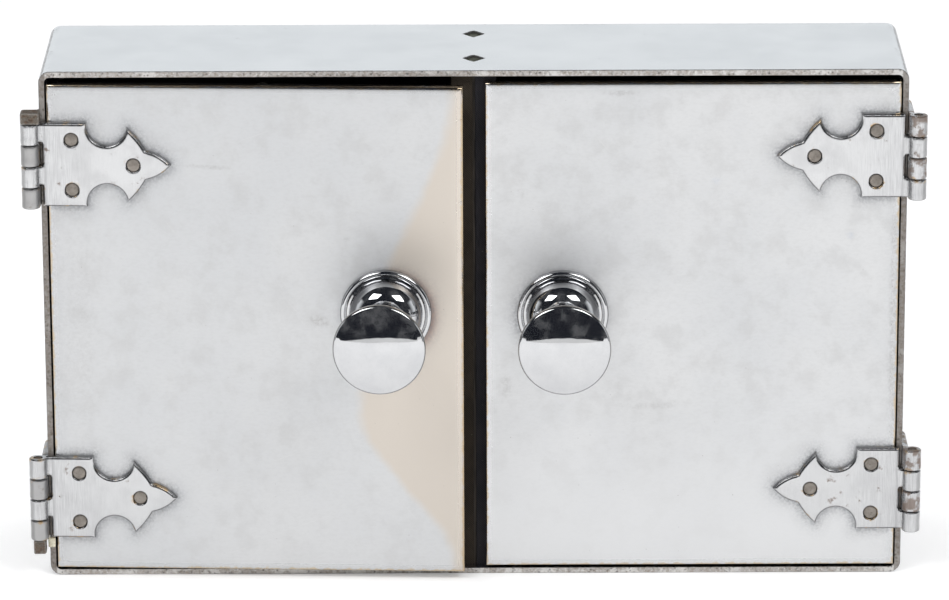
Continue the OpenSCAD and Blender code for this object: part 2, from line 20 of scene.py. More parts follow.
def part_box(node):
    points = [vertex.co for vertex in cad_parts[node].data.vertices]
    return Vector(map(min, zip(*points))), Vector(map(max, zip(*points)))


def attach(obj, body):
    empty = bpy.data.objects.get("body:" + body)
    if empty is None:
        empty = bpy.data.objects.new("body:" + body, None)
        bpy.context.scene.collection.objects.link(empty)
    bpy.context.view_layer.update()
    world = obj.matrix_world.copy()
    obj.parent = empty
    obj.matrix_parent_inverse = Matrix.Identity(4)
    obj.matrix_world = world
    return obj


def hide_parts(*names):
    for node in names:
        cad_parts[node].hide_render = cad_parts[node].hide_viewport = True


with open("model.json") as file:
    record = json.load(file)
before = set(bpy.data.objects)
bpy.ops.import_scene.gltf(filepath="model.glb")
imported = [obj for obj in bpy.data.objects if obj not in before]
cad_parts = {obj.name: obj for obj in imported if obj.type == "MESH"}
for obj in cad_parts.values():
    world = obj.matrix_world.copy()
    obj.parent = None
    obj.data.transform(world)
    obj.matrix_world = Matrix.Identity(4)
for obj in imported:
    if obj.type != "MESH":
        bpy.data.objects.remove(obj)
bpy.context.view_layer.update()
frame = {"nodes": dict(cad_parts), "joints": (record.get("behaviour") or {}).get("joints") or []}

MM = 0.001
FAR = 50.0                # distance from an edge, where nothing is worn
LOG = logging.getLogger("cabinet")

Point = tuple[float, float]
Colour = tuple[float, float, float]
Node = bpy.types.Node
Socket = bpy.types.NodeSocket
Tree = bpy.types.NodeTree


class Side(Enum):
    """The side of the cabinet that a door, hinge or knob is on."""

    LEFT = -1
    RIGHT = 1

    @property
    def word(self) -> str:
        """The side's name as the frame's nodes spell it."""
        return self.name.lower()


class Level(Enum):
    """The height that a hinge is at."""

    UPPER = "upper"
    LOWER = "lower"


# ---------------- flat geometry


def arc(centre: Point, radius: float | Point, start: float, end: float, steps: int = 8) -> list[Point]:
    """Points of a circular or elliptical arc.

    Args:
        centre: Middle of the arc.
        radius: One radius, or the two half axes.
        start: First angle in degrees, counter-clockwise from the first axis.
        end: Last angle in degrees.
        steps: Straight steps between the two ends.

    Returns:
        The steps + 1 points in order.
    """
    rx, ry = radius if isinstance(radius, tuple) else (radius, radius)
    angles = [math.radians(start + (end - start) * i / steps) for i in range(steps + 1)]
    return [(centre[0] + rx * math.cos(a), centre[1] + ry * math.sin(a)) for a in angles]


def bulge(a: Point, b: Point, rise: float, steps: int = 10) -> list[Point]:
    """Points of a shallow curve that bulges to its left.

    Args:
        a: First point.
        b: Last point.
        rise: Height of the curve at its middle.
        steps: Straight steps.

    Returns:
        The steps + 1 points in order.
    """
    length = math.dist(a, b)
    side = ((a[1] - b[1]) / length, (b[0] - a[0]) / length)
    found = []
    for i in range(steps + 1):
        t = i / steps
        lift = 4 * rise * t * (1 - t)
        found.append((a[0] + (b[0] - a[0]) * t + side[0] * lift, a[1] + (b[1] - a[1]) * t + side[1] * lift))
    return found


def rectangle(x0: float, x1: float, y0: float, y1: float) -> list[Point]:
    """The four corners of a rectangle, counter-clockwise."""
    return [(x0, y0), (x1, y0), (x1, y1), (x0, y1)]


def stepped(points: Sequence[Point], step: float, material_left: bool = True) -> np.ndarray:
    """A closed loop with its long sides divided and its direction settled.

    Args:
        points: Corners of the loop.
        step: Longest side that is left.
        material_left: True for an outline, False for a hole.

    Returns:
        The loop's points, one row each.
    """
    loop = np.array(points, float)
    loop = loop[np.linalg.norm(loop - np.roll(loop, 1, axis=0), axis=1) > 1e-6]
    x, y = loop[:, 0], loop[:, 1]
    turning = float(np.sum(x * np.roll(y, -1) - np.roll(x, -1) * y))
    if (turning > 0) != material_left:
        loop = loop[::-1]
    found = []
    for a, b in zip(loop, np.roll(loop, -1, axis=0)):
        count = max(1, math.ceil(float(np.linalg.norm(b - a)) / step))
        found += [a + (b - a) * i / count for i in range(count)]
    return np.array(found)


def distance_to(points: np.ndarray, loop: np.ndarray) -> np.ndarray:
    """Distance from each point to the nearest side of a closed loop.

    Args:
        points: The points, one row each.
        loop: The closed loop, one row for each point.

    Returns:
        One distance for each point.
    """
    a, b = loop, np.roll(loop, -1, axis=0)
    along = b - a
    rel = points[:, None, :] - a[None]
    t = np.clip((rel * along).sum(2) / (along * along).sum(1), 0, 1)
    return np.linalg.norm(rel - t[..., None] * along, axis=2).min(axis=1)


def inside(points: np.ndarray, loops: Sequence[np.ndarray]) -> np.ndarray:
    """Whether each point lies in the outline and out of the holes, by counting crossings.

    Args:
        points: The points, one row each.
        loops: The outline and then the holes.

    Returns:
        One truth value for each point.
    """
    crossings = np.zeros(len(points), int)
    for loop in loops:
        a, b = loop, np.roll(loop, -1, axis=0)
        x, y = points[:, 0][:, None], points[:, 1][:, None]
        spans = (a[:, 1] > y) != (b[:, 1] > y)
        rise = np.where(b[:, 1] == a[:, 1], 1.0, b[:, 1] - a[:, 1])
        crossings += (spans & (x < a[:, 0] + (y - a[:, 1]) / rise * (b[:, 0] - a[:, 0]))).sum(1)
    return crossings % 2 == 1


def inset(loop: np.ndarray, distance: float) -> np.ndarray:
    """The loop's points moved into the material by a distance, along each corner's bisector.

    Args:
        loop: The closed loop, one row for each point.
        distance: How far, in millimetres.

    Returns:
        The moved loop.
    """
    before = loop - np.roll(loop, 1, axis=0)
    after = np.roll(loop, -1, axis=0) - loop
    n0 = np.stack([-before[:, 1], before[:, 0]], 1) / np.linalg.norm(before, axis=1)[:, None]
    n1 = np.stack([-after[:, 1], after[:, 0]], 1) / np.linalg.norm(after, axis=1)[:, None]
    spread = np.maximum(1 + (n0 * n1).sum(1), 0.35)
    return loop + (n0 + n1) / spread[:, None] * distance


@dataclass
class Net:
    """A triangulated flat region: points, triangles, and each loop's point numbers."""

    points: np.ndarray
    triangles: list[tuple[int, int, int]]
    loops: list[list[int]]

    @staticmethod
    def over(loops: Sequence[np.ndarray], inner: np.ndarray) -> "Net":
        """Triangulates the region between loops.

        Args:
            loops: The outline and then the holes.
            inner: Further points inside the region.

        Returns:
            The net, whose triangles are counter-clockwise.
        """
        points = np.vstack([*loops, inner.reshape(-1, 2)])
        edges, rows, first = [], [], 0
        for loop in loops:
            row = list(range(first, first + len(loop)))
            edges += list(zip(row, row[1:] + row[:1]))
            rows.append(row)
            first += len(loop)
        made = delaunay_2d_cdt([Vector(p) for p in points], edges, [], 0, 1e-6)
        where = {old: new for new, olds in enumerate(made[3]) for old in olds}
        flat = np.array([tuple(v) for v in made[0]])
        corners = np.array([tuple(f) for f in made[2]])
        keep = inside(flat[corners].mean(axis=1), loops)
        a, b, c = (flat[corners[:, i]] for i in range(3))
        area = (b[:, 0] - a[:, 0]) * (c[:, 1] - a[:, 1]) - (b[:, 1] - a[:, 1]) * (c[:, 0] - a[:, 0])
        triangles = []
        for triangle, shown, size in zip(corners.tolist(), keep, area):
            if shown and abs(size) > 1e-9:
                triangles.append(tuple(triangle if size > 0 else triangle[::-1]))
        return Net(flat, triangles, [[where[i] for i in row] for row in rows])


# ---------------- solid geometry


class Shape:
    """A mesh in millimetres, with the distance to the nearest edge and the dirt and painted shade at each
    point.
    """

    def __init__(self, points: np.ndarray | list, faces: Sequence, wear: np.ndarray | None = None,
                 grime_and_shade: np.ndarray | None = None) -> None:
        """Keeps the points and faces.

        Args:
            points: One row of three numbers for each point.
            faces: Each face's point numbers.
            wear: Distance from each point to the nearest edge, or None for far away.
            grime_and_shade: Dirt and painted shade at each point from 0 to 1, or None for none.
        """
        self.points = np.array(points, float).reshape(-1, 3)
        self.faces = [tuple(f) for f in faces]
        self.wear = np.full(len(self.points), FAR) if wear is None else np.array(wear, float)
        self.grime_and_shade = np.zeros(len(self.points)) if grime_and_shade is None else np.array(grime_and_shade, float)

    def moved(self, matrix: Matrix) -> "Shape":
        """The shape placed by a matrix in millimetres, with its faces still outwards.

        Args:
            matrix: The placing matrix.

        Returns:
            The placed shape.
        """
        m = np.array(matrix)
        faces = self.faces if np.linalg.det(m[:3, :3]) > 0 else [f[::-1] for f in self.faces]
        return Shape(self.points @ m[:3, :3].T + m[:3, 3], faces, self.wear, self.grime_and_shade)

    def mapped(self, rule: Callable[[np.ndarray], np.ndarray]) -> "Shape":
        """The shape with every point moved by a rule that takes and returns rows of points."""
        return Shape(rule(self.points.copy()), self.faces, self.wear, self.grime_and_shade)

    def __add__(self, other: "Shape") -> "Shape":
        """Both shapes as one.

        Args:
            other: The shape to join on.

        Returns:
            The joined shape.
        """
        shift = len(self.points)
        return Shape(
            np.vstack([self.points, other.points]),
            self.faces + [tuple(i + shift for i in f) for f in other.faces],
            np.concatenate([self.wear, other.wear]),
            np.concatenate([self.grime_and_shade, other.grime_and_shade]),
        )

    def build(self, name: str, sharp: float = 38.0) -> bpy.types.Object:
        """Makes the shape an object in metres.

        Args:
            name: The object's name.
            sharp: Angle in degrees above which an edge stays sharp.

        Returns:
            The new object, linked to the scene.
        """
        mesh = bpy.data.meshes.new(name)
        mesh.from_pydata((self.points * MM).tolist(), [], self.faces)
        mesh.validate()
        mesh.shade_smooth()
        mesh.set_sharp_from_angle(angle=math.radians(sharp))
        for word, values in (("wear", self.wear), ("grime_and_shade", self.grime_and_shade)):
            stored = mesh.attributes.new(word, "FLOAT", "POINT")
            stored.data.foreach_set("value", values.astype(np.float32))
        made = bpy.data.objects.new(name, mesh)
        bpy.context.scene.collection.objects.link(made)
        weighted = made.modifiers.new("even shading", "WEIGHTED_NORMAL")
        weighted.keep_sharp = True
        return made


def wavy(points: np.ndarray, cell: float, seed: float) -> np.ndarray:
    """Smooth noise from -1 to 1 at each point, with features of about cell millimetres."""
    shift = Vector((seed * 7.3, seed * 3.1, seed * 5.7))
    return np.array([noise.noise(Vector(p) / cell + shift) for p in points])


def lathe(profile: Sequence[Point], turns: int = 96, closed: bool = False,
          wear: Sequence[float] | None = None) -> Shape:
    """Turns a profile about the Z axis.

    Args:
        profile: Radius and height of each point, from the bottom's middle outwards and up.
        turns: Steps round the axis.
        closed: True for a ring, whose profile joins up with itself.
        wear: Distance to the nearest edge at each profile point.

    Returns:
        The turned shape.
    """
    points, faces, worn = [], [], []
    rings: list[list[int]] = []
    for index, (radius, height) in enumerate(profile):
        count = 1 if radius < 1e-6 else turns
        first = len(points)
        for i in range(count):
            a = 2 * math.pi * i / turns
            points.append((radius * math.cos(a), radius * math.sin(a), height))
        worn += [FAR if wear is None else wear[index]] * count
        rings.append([first + i % count for i in range(turns)])
    pairs = list(zip(rings, rings[1:]))
    if closed:
        pairs.append((rings[-1], rings[0]))
    for low, high in pairs:
        for i in range(turns):
            j = (i + 1) % turns
            face = list(dict.fromkeys([low[i], low[j], high[j], high[i]]))
            if len(face) > 2:
                faces.append(face)
    return Shape(points, faces, np.array(worn))


@dataclass
class Cutting:
    """A piece cut from flat sheet, with holes, whose front edges are rounded over.

    It is drawn in u and v, and w is its height: the back is at 0 and the front at its thickness.
    """

    outline: Sequence[Point]
    thickness: float
    holes: Sequence[Sequence[Point]] = ()
    roll: float = 0.3
    hole_roll: float = 0.2
    back_roll: float = 0.15
    step: float = 1.0
    cell: float = 4.0
    inner: Sequence[Point] | None = None
    dents: float = 0.0
    seed: float = 1.0

    def _inner_points(self, loops: list[np.ndarray]) -> np.ndarray:
        """The points inside the outline: rings along every edge, and a grid over the rest.

        Args:
            loops: The outline and then the holes.

        Returns:
            The points, one row each.
        """
        found = []
        for index, loop in enumerate(loops):
            roll = self.hole_roll if index else self.roll
            for turn in (22.5, 45, 67.5, 90):
                found.append((inset(loop, roll * (1 - math.cos(math.radians(turn)))), 0.0))
            for extra in (0.5, 1.6):
                found.append((inset(loop[::2], roll + extra), roll + extra))
        rings = []
        for ring, least in found:
            near = np.min([distance_to(ring, loop) for loop in loops], axis=0)
            rings.append(ring[inside(ring, loops) & (near > max(0.85 * least, 1e-3))])
        if self.inner is None:
            low, high = loops[0].min(axis=0), loops[0].max(axis=0)
            us = np.arange(low[0] + self.cell / 2, high[0], self.cell)
            vs = np.arange(low[1] + self.cell / 2, high[1], self.cell)
            grid = np.array([(u, v) for u in us for v in vs]).reshape(-1, 2)
        else:
            grid = np.array(self.inner, float).reshape(-1, 2)
        if len(grid):
            near = np.min([distance_to(grid, loop) for loop in loops], axis=0)
            clear = self.roll + (2.2 if self.cell > 2.5 else 1.8)
            rings.append(grid[inside(grid, loops) & (near > clear)])
        return np.vstack(rings)

    @staticmethod
    def _rounding(distance: np.ndarray, roll: float) -> np.ndarray:
        """How far a rounded edge falls below the face, at a distance from the edge."""
        left = np.clip(roll - distance, 0, roll)
        return roll - np.sqrt(np.maximum(roll * roll - left * left, 0))

    def shape(self) -> Shape:
        """The finished piece, in u, v and w.

        Returns:
            The piece, with the distance to the nearest edge at each point.
        """
        loops = [stepped(self.outline, self.step)]
        loops += [stepped(hole, self.step / 2, material_left=False) for hole in self.holes]
        net = Net.over(loops, self._inner_points(loops))
        outer = distance_to(net.points, loops[0])
        bored = np.full(len(net.points), FAR)
        for loop in loops[1:]:
            bored = np.minimum(bored, distance_to(net.points, loop))
        fall = np.maximum(self._rounding(outer, self.roll), self._rounding(bored, self.hole_roll))
        front = self.thickness - fall
        if self.dents:
            deep = np.clip(0.5 + 0.5 * wavy(np.c_[net.points, 0 * outer], 4.0, self.seed), 0, 1)
            front = front - self.dents * deep * np.clip(outer / 2, 0, 1)
        back = self._rounding(np.minimum(outer, bored), self.back_roll)
        count = len(net.points)
        points = np.vstack([np.c_[net.points, front], np.c_[net.points, back]])
        faces: list[tuple[int, ...]] = list(net.triangles)
        faces += [tuple(i + count for i in reversed(t)) for t in net.triangles]
        for row in net.loops:
            for i, j in zip(row, row[1:] + row[:1]):
                faces.append((i + count, j + count, j, i))
        near = np.minimum(outer, bored)
        return Shape(points, faces, np.concatenate([near, near]))


@dataclass
class WornBlock:
    """A small block with rounded corners and an uneven, corroded surface."""

    low: tuple[float, float, float]
    high: tuple[float, float, float]
    corner: float = 0.6
    cuts: int = 14
    rough: float = 0.15
    seed: float = 1.0

    def shape(self) -> Shape:
        """The finished block.

        Returns:
            The block, in its place.
        """
        centre = (np.array(self.low) + np.array(self.high)) / 2
        half = (np.array(self.high) - np.array(self.low)) / 2 - self.rough
        grid = np.linspace(-1, 1, self.cuts)
        points: dict[tuple[float, float, float], int] = {}
        faces = []

        def number(p: tuple[float, float, float]) -> int:
            """The number of a point on the cube, the same for faces that share it."""
            return points.setdefault(tuple(round(c, 6) for c in p), len(points))

        for axis in range(3):
            for sign in (-1.0, 1.0):
                for a0, a1 in zip(grid, grid[1:]):
                    for b0, b1 in zip(grid, grid[1:]):
                        quad = [(a0, b0), (a1, b0), (a1, b1), (a0, b1)]
                        corners = []
                        for a, b in quad if sign > 0 else quad[::-1]:
                            p = [0.0, 0.0, 0.0]
                            p[axis], p[(axis + 1) % 3], p[(axis + 2) % 3] = sign, a, b
                            corners.append(number(tuple(p)))
                        faces.append(corners)
        cube = np.array(list(points))
        box = cube * half
        core = np.clip(box, -(half - self.corner), half - self.corner)
        out = box - core
        length = np.maximum(np.linalg.norm(out, axis=1), 1e-9)[:, None]
        out = np.where(length > 1e-6, out / length, cube)
        placed = core + out * self.corner
        lift = wavy(placed, 1.6, self.seed) * 0.6 + wavy(placed, 0.6, self.seed + 3) * 0.4
        placed = placed + out * (self.rough * lift)[:, None]
        edge = np.sort(half - np.abs(box), axis=1)[:, 1]
        return Shape(placed + centre, faces, edge)


# ---------------- shader kit


class Graph:
    """Adds nodes to one node tree and wires them."""

    def __init__(self, tree: Tree) -> None:
        """Keeps the tree."""
        self.tree = tree

    def add(self, kind: str, **settings: object) -> Node:
        """A new node of a kind, with its settings.

        Args:
            kind: The node type's name without its prefix.
            settings: Properties to set on it.

        Returns:
            The new node.
        """
        made = self.tree.nodes.new("ShaderNode" + kind)
        for name, value in settings.items():
            setattr(made, name, value)
        return made

    def feed(self, socket: Socket, value: object) -> None:
        """Links a value to a socket, or sets it when it is a plain number or colour.

        Args:
            socket: The socket to fill.
            value: A socket, a number, a vector or a colour.
        """
        if isinstance(value, Socket):
            self.tree.links.new(value, socket)
        elif hasattr(socket.default_value, "__len__") and len(socket.default_value) == 4:
            socket.default_value = (*value, 1.0) if len(value) == 3 else value
        else:
            socket.default_value = value

    def math(self, operation: str, *values: object) -> Socket:
        """The result of a Math node.

        Args:
            operation: The node's operation.
            values: Its inputs.

        Returns:
            Its output.
        """
        made = self.add("Math", operation=operation)
        for socket, value in zip(made.inputs, values):
            self.feed(socket, value)
        return made.outputs[0]

    def times(self, a: object, b: object) -> Socket:
        """The product of two values."""
        return self.math("MULTIPLY", a, b)

    def plus(self, a: object, b: object) -> Socket:
        """The sum of two values."""
        return self.math("ADD", a, b)

    def minus(self, a: object, b: object) -> Socket:
        """The first value less the second."""
        return self.math("SUBTRACT", a, b)

    def vector(self, operation: str, *values: object) -> Socket:
        """The vector that a Vector Math node gives, or the number where it measures a length.

        Args:
            operation: The node's operation.
            values: Its inputs.

        Returns:
            Its output.
        """
        made = self.add("VectorMath", operation=operation)
        for socket, value in zip(made.inputs, values):
            self.feed(socket, value)
        return made.outputs["Value" if operation == "LENGTH" else "Vector"]

    def scaled(self, vector: object, x: float, y: float, z: float) -> Socket:
        """A vector with each part multiplied."""
        return self.vector("MULTIPLY", vector, (x, y, z))

    def turned(self, vector: object, angle: object) -> Socket:
        """A vector turned in the plane of the doors.

        Args:
            vector: The vector.
            angle: The turn in radians.

        Returns:
            The turned vector.
        """
        made = self.add("VectorRotate", rotation_type="AXIS_ANGLE")
        self.feed(made.inputs["Vector"], vector)
        self.feed(made.inputs["Axis"], (0, 1, 0))
        self.feed(made.inputs["Angle"], angle)
        return made.outputs[0]

    def parts(self, vector: object) -> tuple[Socket, ...]:
        """The three parts of a vector.

        Args:
            vector: The vector.

        Returns:
            Its x, y and z.
        """
        made = self.add("SeparateXYZ")
        self.feed(made.inputs[0], vector)
        return tuple(made.outputs)

    def noise(self, vector: object, scale: object, detail: float = 3.0,
              rough: float = 0.55) -> Socket:
        """A noise value from 0 to 1.

        Args:
            vector: The vector to read it at.
            scale: Features per millimetre.
            detail: Number of finer layers.
            rough: Strength of the finer layers.

        Returns:
            Its output.
        """
        made = self.add("TexNoise")
        self.feed(made.inputs["Vector"], vector)
        self.feed(made.inputs["Scale"], scale)
        made.inputs["Detail"].default_value = detail
        made.inputs["Roughness"].default_value = rough
        return made.outputs[0]

    def ramp(self, value: object, low: object, high: object, start: float = 0.0,
             end: float = 1.0) -> Socket:
        """A value taken smoothly from start at low to end at high.

        Args:
            value: A socket, a number, a vector or a colour.
            low: The value where it starts.
            high: The value where it ends.
            start: What it gives at low.
            end: What it gives at high.

        Returns:
            Its output.
        """
        made = self.add("MapRange", interpolation_type="SMOOTHSTEP")
        for socket, number in zip(made.inputs, (value, low, high, start, end)):
            self.feed(socket, number)
        return made.outputs[0]

    def mix(self, factor: object, a: object, b: object) -> Socket:
        """Two colours mixed by a factor.

        Args:
            factor: How much of the second colour.
            a: The first colour.
            b: The second colour.

        Returns:
            The mixed colour.
        """
        made = self.add("Mix", data_type="RGBA")
        self.feed(made.inputs[0], factor)
        self.feed(made.inputs[6], a)
        self.feed(made.inputs[7], b)
        return made.outputs[2]

    def tint(self, colour: object, tone: object, mask: object, strength: float) -> Socket:
        """A colour turned towards a tone where a mask is, by a strength."""
        return self.mix(self.times(mask, strength), colour, tone)

    def millimetres(self) -> Socket:
        """The surface's own coordinates in millimetres."""
        return self.vector("MULTIPLY", self.add("TexCoord").outputs["Object"], (1 / MM,) * 3)

    def stored(self, name: str) -> Socket:
        """A value that the mesh stores at its points."""
        return self.add("Attribute", attribute_name=name).outputs["Fac"]

    def effect(self, effect: "Effect", place: object, **values: object) -> Node:
        """An effect's node group, placed with its own values.

        Args:
            effect: The effect.
            place: The vector that it is read at.
            values: Its other inputs.

        Returns:
            The placed group.
        """
        made = self.add("Group", node_tree=EFFECTS.tree(effect))
        for name, value in {"Vector": place, **values}.items():
            self.feed(made.inputs[name], value)
        return made

    def mask(self, effect: "Effect", place: object, **values: object) -> Socket:
        """The mask alone of an effect that is placed with its own values."""
        return self.effect(effect, place, **values).outputs["Mask"]


class Effect(Enum):
    """The surface effects that several finishes share."""

    SPECKS = "specks"
    BLOTCHES = "blotches"
    HAIRLINES = "hairlines"
    EDGE_WEAR = "edge wear"
    PITS = "pits"
    TWILL = "twill"
    SMUDGE = "smudge"


@dataclass
class EffectShelf:
    """The node group of each effect, built the first time that it is wanted."""

    made: dict[Effect, Tree] = field(default_factory=dict)

    def tree(self, effect: Effect) -> Tree:
        """The effect's node group.

        Args:
            effect: The effect.

        Returns:
            Its node tree.
        """
        if effect not in self.made:
            self.made[effect] = getattr(self, "_" + effect.name.lower())()
        return self.made[effect]

    @staticmethod
    def _start(effect: Effect, inputs: dict[str, object], outputs: Sequence[str]
               ) -> tuple[Graph, Socket, dict[str, Socket], Node]:
        """A new group with its sockets, the first of which is the place that it is read at.

        Args:
            effect: The effect, for the group's name.
            inputs: Default of each further input, a number or a vector of three.
            outputs: Names of the values that it gives.

        Returns:
            The group's graph, the place that it is read at, its inputs by name, and its output node.
        """
        tree = bpy.data.node_groups.new(effect.value, "ShaderNodeTree")
        inputs = {"Vector": (0.0, 0.0, 0.0), **inputs}
        for word, default in inputs.items():
            kind = "NodeSocketVector" if isinstance(default, tuple) else "NodeSocketFloat"
            tree.interface.new_socket(word, in_out="INPUT", socket_type=kind).default_value = default
        for word in outputs:
            tree.interface.new_socket(word, in_out="OUTPUT", socket_type="NodeSocketFloat")
        entry, way_out = tree.nodes.new("NodeGroupInput"), tree.nodes.new("NodeGroupOutput")
        given = {word: entry.outputs[word] for word in inputs}
        return Graph(tree), given["Vector"], given, way_out

    def _specks(self) -> Tree:
        """Small separate dots, on a share of the cells of a scattered grid.

        Returns:
            Its node tree.
        """
        g, place, given, out = self._start(Effect.SPECKS, {"Pitch": 2.0, "Share": 0.3, "Size": 0.2},
                                           ["Mask"])
        cell = g.add("TexVoronoi")
        g.feed(cell.inputs["Vector"], place)
        g.feed(cell.inputs["Scale"], g.math("DIVIDE", 1.0, given["Pitch"]))
        parts = g.parts(cell.outputs["Color"])
        shown = g.math("LESS_THAN", parts[0], given["Share"])
        radius = g.times(given["Size"], g.plus(g.times(parts[1], 0.9), 0.35))
        ragged = g.times(g.noise(place, 3.0), 0.12)
        dot = g.ramp(g.plus(cell.outputs["Distance"], ragged), radius, g.times(radius, 0.55))
        g.feed(out.inputs["Mask"], g.times(shown, dot))
        return g.tree

    def _blotches(self) -> Tree:
        """Cloudy patches of a size, that cover a share of the surface.

        Returns:
            Its node tree.
        """
        g, place, given, out = self._start(Effect.BLOTCHES, {"Size": 20.0, "Cover": 0.5, "Softness": 0.1},
                                           ["Mask", "Cloud"])
        cloud = g.noise(place, g.math("DIVIDE", 1.0, given["Size"]), 5.0, 0.6)
        middle = g.minus(0.75, g.times(given["Cover"], 0.5))
        mask = g.ramp(cloud, g.minus(middle, given["Softness"]), g.plus(middle, given["Softness"]))
        g.feed(out.inputs["Mask"], mask)
        g.feed(out.inputs["Cloud"], cloud)
        return g.tree

    def _hairlines(self) -> Tree:
        """Fine scratches that wander about one direction.

        Returns:
            Its node tree.
        """
        g, place, given, out = self._start(Effect.HAIRLINES, {"Turn": 0.3, "Length": 40.0, "Width": 0.35,
                                                              "Share": 0.2}, ["Mask"])
        x, y, z = g.parts(g.turned(place, given["Turn"]))
        join = g.add("CombineXYZ")
        g.feed(join.inputs[0], g.math("DIVIDE", x, given["Length"]))
        g.feed(join.inputs[1], g.math("DIVIDE", y, given["Length"]))
        g.feed(join.inputs[2], g.math("DIVIDE", z, given["Width"]))
        line = g.noise(join.outputs[0], 1.0, 2.0, 0.5)
        edge = g.minus(0.78, g.times(given["Share"], 0.3))
        g.feed(out.inputs["Mask"], g.ramp(line, edge, g.plus(edge, 0.08)))
        return g.tree

    def _edge_wear(self) -> Tree:
        """A ragged band along the edges, from the stored distance to the nearest edge.

        Returns:
            Its node tree.
        """
        g, place, given, out = self._start(Effect.EDGE_WEAR, {"Distance": 5.0, "Reach": 0.6, "Grain": 2.0},
                                           ["Mask"])
        ragged = g.noise(place, g.math("DIVIDE", 1.0, given["Grain"]), 4.0, 0.65)
        reach = g.times(given["Reach"], g.ramp(ragged, 0.3, 0.7, 0.15, 1.8))
        g.feed(out.inputs["Mask"], g.ramp(given["Distance"], reach, g.times(reach, 0.35)))
        return g.tree

    def _pits(self) -> Tree:
        """A corroded skin: small craters over lumps.

        Returns:
            Its node tree.
        """
        g, place, given, out = self._start(Effect.PITS, {"Size": 0.8, "Share": 0.5}, ["Mask", "Height"])
        cell = g.add("TexVoronoi", feature="SMOOTH_F1")
        shake = g.times(g.noise(place, 1.5), 0.3)
        g.feed(cell.inputs["Vector"], g.vector("ADD", place, shake))
        g.feed(cell.inputs["Scale"], g.math("DIVIDE", 1.0, given["Size"]))
        lumps = g.noise(place, g.math("DIVIDE", 0.7, given["Size"]), 6.0, 0.7)
        pit = g.ramp(cell.outputs["Distance"], g.times(given["Share"], 0.9), 0.05)
        g.feed(out.inputs["Mask"], g.times(pit, g.ramp(lumps, 0.42, 0.6)))
        g.feed(out.inputs["Height"], g.minus(lumps, g.times(pit, 0.35)))
        return g.tree

    def _twill(self) -> Tree:
        """A diagonal weave: raised ribs, crossed by finer threads.

        Returns:
            Its node tree.
        """
        g, place, given, out = self._start(Effect.TWILL, {"Pitch": 0.8}, ["Height", "Rib"])
        x, y, z = g.parts(place)
        across = g.plus(x, y)
        turn = g.math("DIVIDE", 2 * math.pi, given["Pitch"])
        wander = g.times(g.noise(place, 0.25), 2.2)
        rib = g.math("SINE", g.plus(g.times(g.plus(across, z), turn), wander))
        thread = g.math("SINE", g.times(g.minus(z, across), g.times(turn, 1.6)))
        fuzz = g.noise(place, 4.0, 4.0, 0.7)
        height = g.plus(g.times(rib, 0.35), g.times(thread, 0.15))
        g.feed(out.inputs["Height"], g.plus(height, fuzz))
        g.feed(out.inputs["Rib"], g.ramp(rib, -0.6, 0.8))
        return g.tree

    def _smudge(self) -> Tree:
        """One soft mark on a door: an ellipse with a cloudy edge.

        Returns:
            Its node tree.
        """
        g, place, given, out = self._start(Effect.SMUDGE, {"Centre": (0.0, 0.0, 0.0), "Size": (5.0, 1.0, 5.0),
                                                           "Turn": 0.0}, ["Mask"])
        turned = g.turned(g.vector("SUBTRACT", place, given["Centre"]), given["Turn"])
        flat = g.scaled(g.vector("DIVIDE", turned, given["Size"]), 1, 0, 1)
        cloud = g.times(g.minus(g.noise(place, 0.28, 4.0), 0.5), 1.3)
        reach = g.plus(g.vector("LENGTH", flat), cloud)
        g.feed(out.inputs["Mask"], g.ramp(reach, 1.0, 0.2))
        return g.tree


EFFECTS = EffectShelf()


# ---------------- finishes


@dataclass(frozen=True)
class Finish:
    """A finish with the record's slot that it belongs to."""

    slot: str

    def material(self) -> bpy.types.Material:
        """The finish's material, made once.

        Returns:
            The material.
        """
        name = type(self).__name__ + "_" + self.slot + self.suffix()
        made = bpy.data.materials.get(name)
        if made is None:
            made = bpy.data.materials.new(name)
            made.use_nodes = True
            g = Graph(made.node_tree)
            self.wire(g, made.node_tree.nodes["Principled BSDF"])
        return made

    def suffix(self) -> str:
        """What tells two materials of one slot apart."""
        return ""

    def wire(self, g: Graph, skin: Node) -> None:
        """Builds the nodes that feed the skin, which is the material's Principled shader."""
        raise NotImplementedError

    @staticmethod
    def relief(g: Graph, skin: Node, height: object, distance: float,
               strength: float = 1.0) -> None:
        """Feeds a height through a Bump node; distance is in millimetres.

        Args:
            g: The material's graph.
            skin: Its shader.
            height: The height to feed.
            distance: Height of the relief in millimetres.
            strength: How strong the relief is.
        """
        bump = g.add("Bump")
        bump.inputs["Strength"].default_value = strength
        bump.inputs["Distance"].default_value = distance * MM
        g.feed(bump.inputs["Height"], height)
        g.feed(skin.inputs["Normal"], bump.outputs[0])


